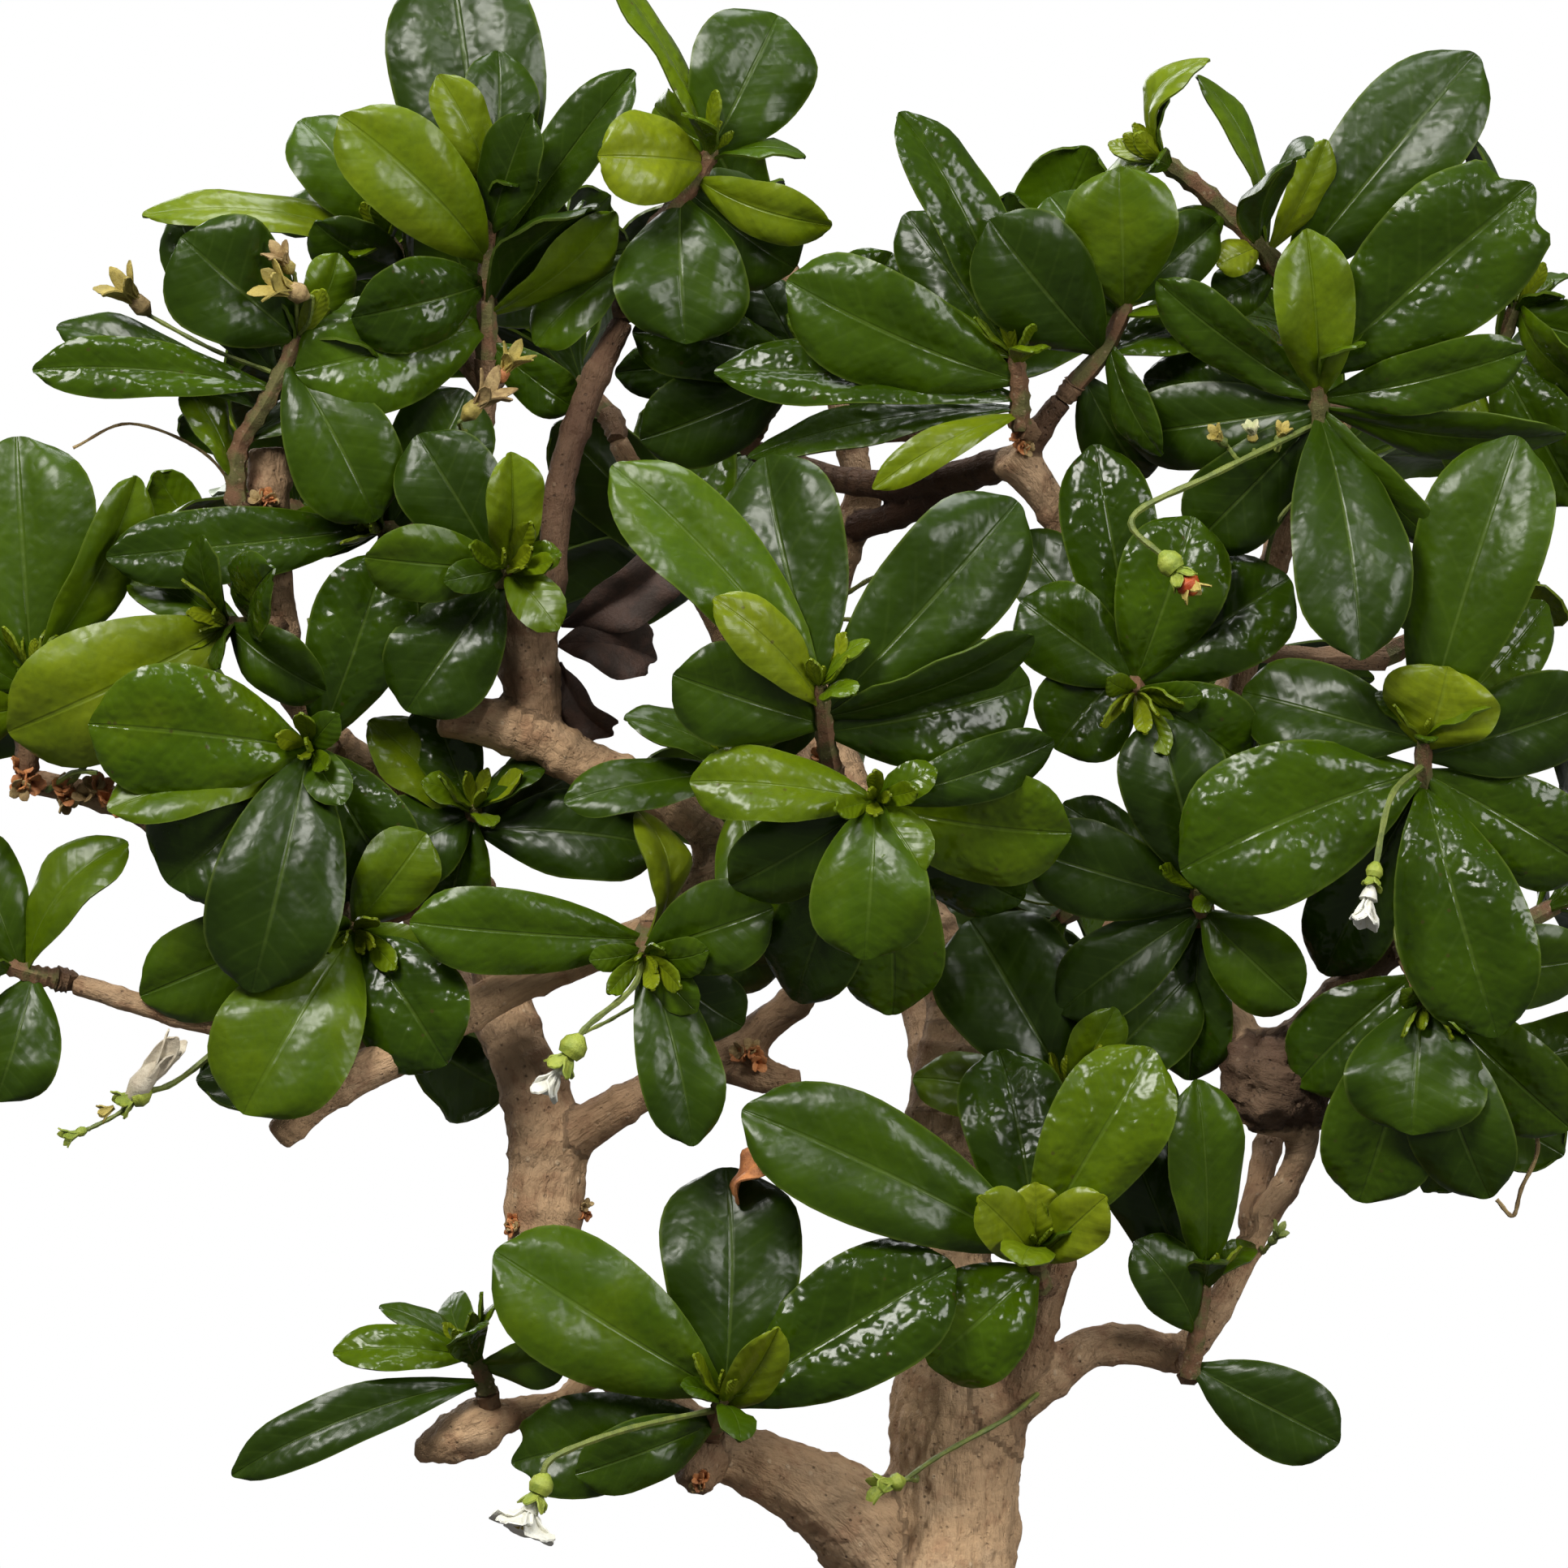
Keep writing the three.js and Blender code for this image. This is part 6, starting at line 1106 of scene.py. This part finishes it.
flowerSettings = {
    "kinds": ["fallen", "open", "withered", "dry", "fallen"], "thick": 0.22,
    "stalk": 0.42, "stalkSteps": 8, "stalkSwell": 0.12, "stalkWaves": 1.9,
    "sizes": (0.88, 0.24), "roll": 8, "fold": 6, "wave": 0.12,
    "petals": 5, "open": (5.8, 4.6, 0.95), "fallen": (4.4, 2.3, 0.45), "petalCurl": 0.1,
    "cupLip": 1.6, "throat": 1.8, "throatRadii": [0.35, 0.9, 1.2], "stamens": 5, "stamenReach": 2.3,
    "stamenLean": 0.45, "stamen": 0.13, "anther": 0.7, "antherRadii": [0.12, 0.3, 0.26],
    "back": (0.62, -0.12, 0.76), "folded": (9.4, 3.0, 0.16), "foldedLength": 6.5,
    "foldedRadii": [0.6, 1.5, 1.3, 0.5], "foldedTips": (2.6, 1.0, 0.5),
    "dryTips": (5.0, 1.5, 0.4), "fruit": 3.0, "fruitRadii": [0.5, 1.3, 1.6, 1.3, 0.4],
}
fs = flowerSettings
draw = drawFrom(2024)


def painted(obj, skin):
    settle(obj, skins[skin])
    setNotes(obj, tone=0.5)
    return obj


# Small blades around a point: petals, calyx lobes or dry tips
def whorl(spot, way, count, look, curl, skin, spin=0):
    length, width, lean = look
    blades = []
    for i in range(count):
        out = turned(sideOf(way), way, 2 * math.pi * i / count + spin)
        towards = unit(way * math.cos(lean) + out * math.sin(lean))
        size = length * within(draw, fs["sizes"])
        blade = smallLeaf(
            draw, spot + out * 0.1, spot + towards * size, face=way - out * 0.3, width=width, curl=curl,
            roll=fs["roll"] * (draw() - 0.5), fold=fs["fold"], wave=fs["wave"],
            phase=ls["phase"] * draw())
        blades.append(painted(blade, skin))
    whole = joinAll(blades, "whorl")
    useModifier(whole, "SOLIDIFY", thickness=fs["thick"] * mm, offset=-1)
    return whole


def stalk(points, radius, skin="green"):
    run = smoothRun(points, fs["stalkSteps"])
    swell = fs["stalkSwell"] * np.sin(np.arange(len(run)) * fs["stalkWaves"])
    return painted(tube(run, radius * (1 + swell), "stalk"), skin)


# A drop, cup or round fruit, turned around its way
def drop(spot, way, length, radii, skin, sides=14):
    shares = np.linspace(0, 1, 4 * len(radii) - 3)
    widths = np.maximum(np.interp(shares, np.linspace(0, 1, len(radii)), radii), 0.05)
    run = [spot + way * length * share for share in shares]
    return painted(tube(run, widths, "drop", sides), skin)


def cupAndLobes(end, way, cup):
    return [drop(end - way * cup * 0.7, way, cup * 1.4, [0.5, cup * 0.7, cup * 0.8, cup * 0.6], "lime"),
            whorl(end + way * cup * 0.3, way, 5, (cup * 1.7, cup * 0.85, 0.6), 0.06, "lime")]


def flower(end, way, kind):
    seat = end + way * (fs["cupLip"] + fs["throat"] + clearance)
    foot = seat - way * fs["throat"]
    if kind == "withered":  # its petals hang together, folded back along the stalk
        back = unit(np.array(fs["back"]))
        foot += back * 0.4
        return [whorl(foot, back, fs["petals"], fs["folded"], 0.05, "beige"),
                drop(foot - back * 0.3, back, fs["foldedLength"], fs["foldedRadii"], "beige"),
                whorl(seat, way, 4, fs["foldedTips"], 0.1, "yellow")]
    parts = [whorl(seat - way * 0.4, way, fs["petals"], fs[kind], fs["petalCurl"], "petal"),
             drop(foot, way, fs["throat"] + 0.2, fs["throatRadii"], "petal")]
    for i in range(fs["stamens"] if kind == "open" else 0):
        out = turned(sideOf(way), way, 2 * math.pi * (i + 0.5) / fs["stamens"])
        tip = seat + unit(way + out * fs["stamenLean"]) * fs["stamenReach"]
        bend = seat * 0.45 + tip * 0.55 + way * 0.2
        parts.append(stalk([seat, bend, tip], fs["stamen"], "cream"))
        parts.append(drop(tip - way * 0.3, way, fs["anther"], fs["antherRadii"], "yellow", 8))
    return parts


stalkParts = {}
flowerCount = 0
for (name, rows, cup), kind in zip(stalks, fs["kinds"]):
    spots = seenAll(rows)
    end, way = spots[-1], unit(spots[-1] - spots[-2])
    parts = [stalk(spots, fs["stalk"])] + cupAndLobes(end, way, cup)
    if kind == "dry":  # its petals are gone, the fruit is there
        parts.append(whorl(end + way * 0.8, way, 5, fs["dryTips"], 0.12, "yellow", 0.4))
        parts.append(drop(end + way * 2.2, way, fs["fruit"], fs["fruitRadii"], "fruit"))
    else:
        flowerCount += 1
        whole = flower(end, way, kind)
        pieceOf(whole, f"blossom_{flowerCount}", f"flower_{flowerCount}")
    stalkParts.setdefault(name, []).extend(parts)

# What carries the small things: wood, shoots and stalks. Depth counts for less, to keep the view
depthLess = np.array([1, 0.35, 1])
carriers = [pointsOf(obj.data) / mm for obj in [wood] + [spray["shoot"] for spray in sprays]]
carriers += [smoothRun(seenAll(rows), fs["stalkSteps"]) for _, rows, _ in stalks]
woodCount = len(carriers[0])
carriers = np.concatenate(carriers)
carrierTree, woodTree = treeOf(carriers * depthLess), treeOf(carriers[:woodCount] * depthLess)


def carried(spot, tree=carrierTree):
    return carriers[tree.find(spot * depthLess)[1]]


littleSettings = {
    "cupShare": 0.6, "cupRadii": (0.8, 0.7), "tips": 5, "tipLength": 1.2, "tipWidth": 1.3,
    "tipLean": 0.42, "tipCurl": 0.14, "budStalk": 0.3, "scales": 5, "scaleTips": 4,
    "scaleLength": 0.85, "scaleWidth": 0.5, "scaleLean": 0.55, "scaleCurl": 0.15, "knotSpread": 0.9,
    "dryWave": 0.35, "dryThick": 0.3,
}
lt = littleSettings
# Thin stalks as across, depth and up, then their radius and finish
thinStalks = [
    ([(30, 8, 131), (25, 9, 137.5), (16, 10, 141), (9, 10, 138)], 0.22, "withered"),
    ([(41, 8, 102), (39.5, 14, 110), (38, 12, 117)], 0.25, "green"),
    ([(155, 4, 118), (157, 12, 128), (161, 12, 133)], 0.3, "green"),
    ([(175, 13, 70), (184, 8, 62), (189.4, 5, 53), (187.4, 4, 46.6), (186.4, 4, 43.4),
      (184.4, 4, 45.4)], 0.28, "withered"),
    ([(128, 8, 21), (124, 12, 18.4), (116, 14, 14), (111, 14, 10.5)], 0.32, "green"),
    ([(171.6, 10, 84), (172, 14, 78), (174, 14, 72)], 0.3, "green"),
    ([(79, 16, 74), (80, 18, 71), (76, 20, 68), (72, 22, 66)], 0.26, "green"),
    ([(106, -12, 120), (108, -6, 122), (107, -4, 118)], 0.3, "green"),
    ([(8, 8, 96), (10.5, 13, 99), (12.5, 14, 102)], 0.4, "green"),
    ([(6, 8, 96), (9, 13, 98), (12, 14, 98)], 0.35, "green"),
]
litter = []
for points, radius, skin in thinStalks:
    spots = seenAll(points)
    litter.append(stalk([carried(spots[0])] + spots[1:], radius, skin))
buds = [  # where, way out, length, width, finish of its tips and of its cup
    ((151, 15, 138.4), (-0.5, -0.5, 0.5), 2.4, 0.9, "yellow", "green"),
    ((154.4, 15, 138.8), (-0.1, -0.5, 0.8), 2.2, 0.9, "cream", "yellow"),
    ((157.4, 15, 138.6), (0.3, -0.5, 0.8), 2.2, 0.8, "yellow", "green"),
    ((57, 14, 141.5), (0.7, -0.3, 0.7), 6.2, 1.5, "withered", "yellow"),
    ((61, 12, 146), (0.6, -0.4, 0.8), 5.0, 1.3, "yellow", "scale"),
    ((18.4, 8, 154.5), (-0.6, -0.4, 0.6), 6.4, 1.6, "yellow", "withered"),
    ((38, 17, 156.6), (-0.8, -0.5, 0.3), 6.2, 1.7, "yellow", "withered"),
    ((36, 17, 159.6), (-0.5, -0.6, 0.7), 3.6, 1.2, "withered", "yellow"),
    ((111.5, 14, 10.8), (-0.9, -0.3, -0.2), 4.0, 1.5, "lime", "lime"),
    ((106.5, -3, 116.5), (-0.1, -0.5, -0.6), 3.4, 1.2, "withered", "withered"),
    ((10.6, 19, 54), (-0.8, -0.2, -0.3), 2.6, 0.8, "lime", "lime"),
    ((156.5, 6, 40), (0.3, -0.4, 0.4), 2.6, 0.8, "green", "green"),
]
for where, way, length, width, tips, cup in buds:
    spot, way = seen(where), unit(np.array(way, float))
    radii = [0.4, width * lt["cupRadii"][0], width * lt["cupRadii"][1], 0.25]
    litter.append(drop(spot, way, length * lt["cupShare"], radii, cup))
    look = (length * lt["tipLength"], width * lt["tipWidth"], lt["tipLean"])
    litter.append(whorl(spot + way * 0.2, way, lt["tips"], look, lt["tipCurl"], tips))
    foot = carried(spot - way)
    bend = foot * 0.5 + (spot - way * 1.5) * 0.5 - np.array([0, 0.5, 0.4])
    litter.append(stalk([foot, bend, spot - way * 0.6, spot], lt["budStalk"]))
knots = [  # dry bud scales in a knot on the wood: where, size
    ((164, 10, 139.5), 3.0), ((183, 12, 94), 3.2), ((2, 10, 97), 3.2), ((8, 10, 95.5), 3.0),
    ((12, 9, 95.5), 3.4), ((66, 13, 118), 2.2), ((126, 7, 139), 1.8), ((33, 10, 132), 2.2),
    ((102, 30, 101), 2.6), ((92, 13, 63), 2.6), ((86.4, 15, 10.6), 1.9), ((63.4, 7, 42.5), 1.6),
    ((72.4, 6, 44), 1.5),
]
for where, size in knots:
    spot = carried(seen(where), woodTree)
    look = (size * lt["scaleLength"], size * lt["scaleWidth"], lt["scaleLean"])
    for i in range(lt["scales"]):
        way = unit(np.array([draw() - 0.5, -0.4 - 0.4 * draw(), draw() - 0.35]))
        aside = np.array([draw() - 0.5, 0, draw() - 0.5]) * size * lt["knotSpread"]
        skin = "scale" if i % 4 else "withered"
        foot = carried(spot + aside, woodTree)
        litter.append(whorl(foot, way, lt["scaleTips"], look, lt["scaleCurl"], skin, i))
deadLeaves = [  # base, tip, width, roll, curl, fold, finish
    ((70, 8, 116), (84, 10, 126), 9, 20, 0.2, 30, "dead"),
    ((71, 8, 114), (81, 9, 112), 10, -20, 0.25, 25, "dead"),
    # The third, below the fork, fills a dark patch: its dark dead-leaf finish stands for a leaf in shadow
    # there, painted shade
    ((72, 7, 112), (75.5, 8, 102.5), 7, 30, 0.2, 30, "dead"),
    ((97.5, 19.8, 51), (90.6, 17, 44.8), 5.5, 50, 0.3, 20, "scale"),
]
for base, tip, width, roll, curl, fold, skin in deadLeaves:
    base = seen(base)
    if skin == "dead":  # the one in the other finish clings to a leaf
        base = carried(base, woodTree)
    leaf = {"base": base, "tip": seen(tip), "face": toViewer, "width": width, "roll": roll,
            "curl": curl, "fold": fold, "wave": lt["dryWave"], "phase": 2, "tone": 0.6, "lobed": True}
    blade = painted(leafObject(leaf, draw()), skin)
    useModifier(blade, "SOLIDIFY", thickness=lt["dryThick"] * mm, offset=-1)
    litter.append(blade)
print("flowers:", flowerCount, "small bits:", len(litter))
pieceOf(litter, "buds_and_dry_bits")

for spray in sprays:
    settle(spray["foliage"], skins["top"], skins["under"])
    settle(spray["shoot"], skins["shoot"])
    parts = [spray["foliage"], spray["shoot"]] + stalkParts.get(spray["name"], [])
    pieceOf(parts, "leaves_" + spray["name"], "spray_" + spray["name"])
for pattern in patterns.values():
    bpy.data.objects.remove(pattern)

# The pot and its drain nets

potSettings = {
    "half": 95, "height": 60, "wall": 7, "rimDrop": 13, "rimStep": 1.5, "floor": 10, "plinth": 4,
    "foot": 0.78, "heel": 0.84, "side": [(0.872, 0.33), (0.9, 0.55), (0.919, 0.8), (0.93, 1)],
    "inside": (0.97, 0.7), "insideFoot": 0.84, "squash": 134 / 190, "steps": 112, "edge": 1.1,
    "holeRadius": 7, "holeSpread": 42,
}
ps = potSettings
half, inner = ps["half"], ps["half"] - ps["wall"]
bodyTop = ps["height"] - ps["rimDrop"]


# An oval turned from a profile of radius and height
def turnedOval(profile, squash, steps):
    edges = [(i, i + 1) for i in range(len(profile) - 1)]
    obj = newMesh("turned", [(r * mm, 0, z * mm) for r, z in profile], edges, [])
    pick(obj)
    bpy.ops.object.mode_set(mode="EDIT")
    bpy.ops.mesh.select_all(action="SELECT")
    bpy.ops.mesh.spin(steps=steps, angle=2 * math.pi, center=(0, 0, 0), axis=(0, 0, 1))
    bpy.ops.mesh.select_all(action="SELECT")
    bpy.ops.mesh.remove_doubles(threshold=0.01 * mm)
    bpy.ops.mesh.normals_make_consistent(inside=False)
    bpy.ops.object.mode_set(mode="OBJECT")
    setPoints(obj.data, pointsOf(obj.data) * (1, squash, 1))
    return obj


profile = [(0, 0), (half * ps["foot"], 0), (half * ps["foot"], ps["plinth"])]
profile += [(half * ps["heel"], ps["plinth"] + 1)]
profile += [(half * out, bodyTop * up) for out, up in ps["side"]]
profile += [(half, bodyTop + ps["rimStep"]), (half, ps["height"]), (inner, ps["height"])]
profile += [(inner * ps["inside"][0], bodyTop * ps["inside"][1])]
profile += [(inner * ps["insideFoot"], ps["floor"]), (0, ps["floor"])]
pot = turnedOval(profile, ps["squash"], ps["steps"])
useModifier(pot, "BEVEL", width=ps["edge"] * mm, segments=3, limit_method="ANGLE",
            angle_limit=math.radians(28))
for side in (-1, 1):
    bpy.ops.mesh.primitive_cylinder_add(vertices=40, radius=ps["holeRadius"] * mm, depth=40 * mm,
                                        location=(side * ps["holeSpread"] * mm, 0, 0))
    drill = picked()
    useModifier(pot, "BOOLEAN", operation="DIFFERENCE", object=drill, solver="EXACT")
    bpy.data.objects.remove(drill)
settle(pot, skins["glaze"])
pieceOf([pot], "glazed_pot", "pot", 38)
for node in ("drain_screen_left", "drain_screen_right"):
    settle(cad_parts[node], skins["net"])

# The soil with its grit and moss, whose patches have a middle and a radius

soilSettings = {
    "steps": 96, "squashShare": 0.993, "edgeShare": 0.975, "underside": 10.3,
    "edge": 53, "shoulder": 0.6, "shoulderRise": 4, "crownRise": 1,
    "rough": 0.55, "roughScale": 0.6, "wide": 0.9, "wideScale": 0.12,
    "grit": 1500, "gritFrom": 0.45, "gritTo": 1.15, "gritEdge": 0.985, "gritUp": 0.25,
    "gritTall": (0.6, 0.3), "moss": 5200, "mossTall": 1.7, "mossSpan": (0.7, 0.6), "mossCrown": 1.4,
    "mossSunk": 0.2, "mossWidth": 0.42, "mossLean": 0.9, "mossEdge": 0.97, "mossRagged": 0.35,
    "mossPatches": [(-52, 14, 15), (-66, -16, 9), (38, 26, 13), (58, -14, 15), (-16, -33, 12),
                    (20, -38, 8), (-22, 36, 10), (70, 12, 6)],
}
ss = soilSettings
squash = ps["squash"] * ss["squashShare"]
soilEdge = inner * ss["edgeShare"] - 2 * clearance


# The smooth height of the ground at a share of its radius: a rim, a slope and a low crown
def groundLevel(r):
    if r > ss["shoulder"]:
        return ss["edge"] + ss["shoulderRise"] * (1 - r) / (1 - ss["shoulder"])
    return ss["edge"] + ss["shoulderRise"] + ss["crownRise"] * (ss["shoulder"] - r) / ss["shoulder"]


def soilTop(x, y):
    r = math.hypot(x, y / squash) / soilEdge
    rough = noise.noise(Vector((x, y, 0)) * ss["wideScale"]) * ss["wide"]
    rough += noise.noise(Vector((x, y, 3)) * ss["roughScale"]) * ss["rough"]
    return groundLevel(r) + rough * min(max((1 - r) * 9, 0), 1)


rings = [(0, ss["underside"]), (inner * 0.8, ss["underside"])]
rings += [(inner * 0.96 - 1, bodyTop * ps["inside"][1]), (soilEdge, ss["edge"])]
shares = [1 - (1 - ss["shoulder"]) * t for t in np.linspace(0.08, 1, 11)]
shares += [ss["shoulder"] * (1 - t) for t in np.linspace(0.06, 1, 16)]
rings += [(soilEdge * share, groundLevel(share)) for share in shares]
soil = turnedOval(rings, squash, ss["steps"])
co = pointsOf(soil.data) / mm
for k, (x, y, z) in enumerate(co):
    if z > ss["edge"] + 0.2:
        co[k, 2] = soilTop(x, y)
setPoints(soil.data, co * mm)


# Copies of a small shape in one mesh, each with its place, size, height, turn and lean
def strewn(pattern, places, name):
    shape = pointsOf(pattern.data)
    faces = [tuple(p.vertices) for p in pattern.data.polygons]
    spots, rims = [], []
    for i, (where, size, tall, turn, lean) in enumerate(places):
        sin, cos = math.sin(turn), math.cos(turn)
        x, y, z = shape[:, 0] * size, shape[:, 1] * size, shape[:, 2] * tall
        across, away = x * cos - y * sin + z * lean[0], x * sin + y * cos + z * lean[1]
        spots.append(np.stack([across, away, z], 1) + where)
        rims += [tuple(v + i * len(shape) for v in face) for face in faces]
    bpy.data.objects.remove(pattern)
    return newMesh(name, (np.concatenate(spots) * mm).tolist(), [], rims)


draw = drawFrom(4711)
bpy.ops.mesh.primitive_ico_sphere_add(subdivisions=1, radius=1)
grain = picked()
places = []
while len(places) < ss["grit"]:
    x, y = (draw() * 2 - 1) * soilEdge, (draw() * 2 - 1) * soilEdge * squash
    if math.hypot(x, y / squash) < soilEdge * ss["gritEdge"]:
        size = ss["gritFrom"] + (ss["gritTo"] - ss["gritFrom"]) * draw() ** 2
        lean = (draw() - 0.5, draw() - 0.5)
        where = np.array([x, y, soilTop(x, y) + size * ss["gritUp"]])
        tall = size * within(draw, ss["gritTall"])
        places.append((where, size, tall, 7 * draw(), lean))
grit = strewn(grain, places, "grit")
bpy.ops.mesh.primitive_cone_add(vertices=3, radius1=1, radius2=0, depth=1, location=(0, 0, 0))
spike = picked()
places = []
while len(places) < ss["moss"]:
    cx, cy, size = ss["mossPatches"][int(draw() * len(ss["mossPatches"]))]
    reach, turn = size * math.sqrt(draw()), 2 * math.pi * draw()
    x, y = cx + reach * math.cos(turn), cy + reach * math.sin(turn)
    edge = 1 - reach / size + ss["mossRagged"] * noise.noise(Vector((x, y, 7)) * 0.25)
    if edge < 0.05 or math.hypot(x, y / squash) > soilEdge * ss["mossEdge"]:
        continue
    tall = ss["mossTall"] * within(draw, ss["mossSpan"])
    crown = ss["mossCrown"] * math.sqrt(min(edge, 1))
    lean = ((draw() - 0.5) * ss["mossLean"], (draw() - 0.5) * ss["mossLean"])
    where = np.array([x, y, soilTop(x, y) + crown - ss["mossSunk"]])
    places.append((where, ss["mossWidth"], tall + crown, 7 * draw(), lean))
moss = strewn(spike, places, "moss")
settle(soil, skins["soil"])
settle(grit, skins["grit"])
settle(moss, skins["moss"])
soil = pieceOf([soil, grit, moss], "soil_with_moss", "soil", 35)
print("pot and soil:", len(pot.data.polygons), len(soil.data.polygons), "faces")

# Camera, level and far off, as the crown was photographed
camera = newObject("view", bpy.data.cameras.new("view"))
camera.data.sensor_width = photo["sensor"]
camera.data.lens = photo["sensor"] * photo["distance"] / photo["width"]
camera.data.clip_end = 50
camera.location = ((photo["centre"] - photo["potAcross"]) * mm, -photo["distance"] * mm,
                   (photo["foot"] + photo["centre"]) * mm)
camera.rotation_euler = (math.radians(90), 0, 0)
bpy.context.scene.camera = camera

# Soft light: a large panel above on the left and weaker ones around. Place, size, power, colour
lightSettings = {
    "key": ((-0.5, -0.8, 1.05), 0.42, 16.0, (1.0, 0.98, 0.93)),
    "side": ((0.85, -0.75, 0.6), 0.4, 7.0, (1.0, 0.99, 0.96)),
    "spark": ((0.2, -1.0, 1.15), 0.09, 2.4, (1.0, 1.0, 0.98)),
    "top": ((0.1, 0.1, 1.2), 0.5, 8.0, (0.98, 0.99, 1.0)),
    "back": ((-0.5, 0.9, 0.7), 0.6, 5.0, (1.0, 1.0, 1.0)),
}
aim = Vector((0, 0, 0.22))
for name, (place, size, power, colour) in lightSettings.items():
    lamp = newObject(name, bpy.data.lights.new(name, "AREA"))
    lamp.data.shape = "SQUARE"
    lamp.data.size = size
    lamp.data.energy = power
    lamp.data.color = colour
    lamp.location = place
    lamp.rotation_euler = (aim - Vector(place)).to_track_quat("-Z", "Y").to_euler()

# White behind the crown, dimmer for the light it gives
worldLight = 0.16
world = bpy.data.worlds.new("studio")
bpy.context.scene.world = world
world.use_nodes = True
nodes, links = world.node_tree.nodes, world.node_tree.links
backdrop = nodes["Background"]
backdrop.inputs["Color"].default_value = (1, 1, 1, 1)
path = nodes.new("ShaderNodeLightPath")
strength = nodes.new("ShaderNodeMix")
strength.inputs[2].default_value = worldLight
strength.inputs[3].default_value = 1.0
links.new(path.outputs["Is Camera Ray"], strength.inputs[0])
links.new(strength.outputs[0], backdrop.inputs["Strength"])
bpy.context.scene.view_settings.view_transform = "Standard"

bpy.ops.mesh.primitive_circle_add(vertices=96, radius=floorSettings["radius"], fill_type="NGON",
                                  location=(0, 0, -floorSettings["under"]))
floor = picked()
floor.name = "studio_floor"
floor.visible_diffuse = False
floor.visible_glossy = False
settle(floor, skins["floor"])
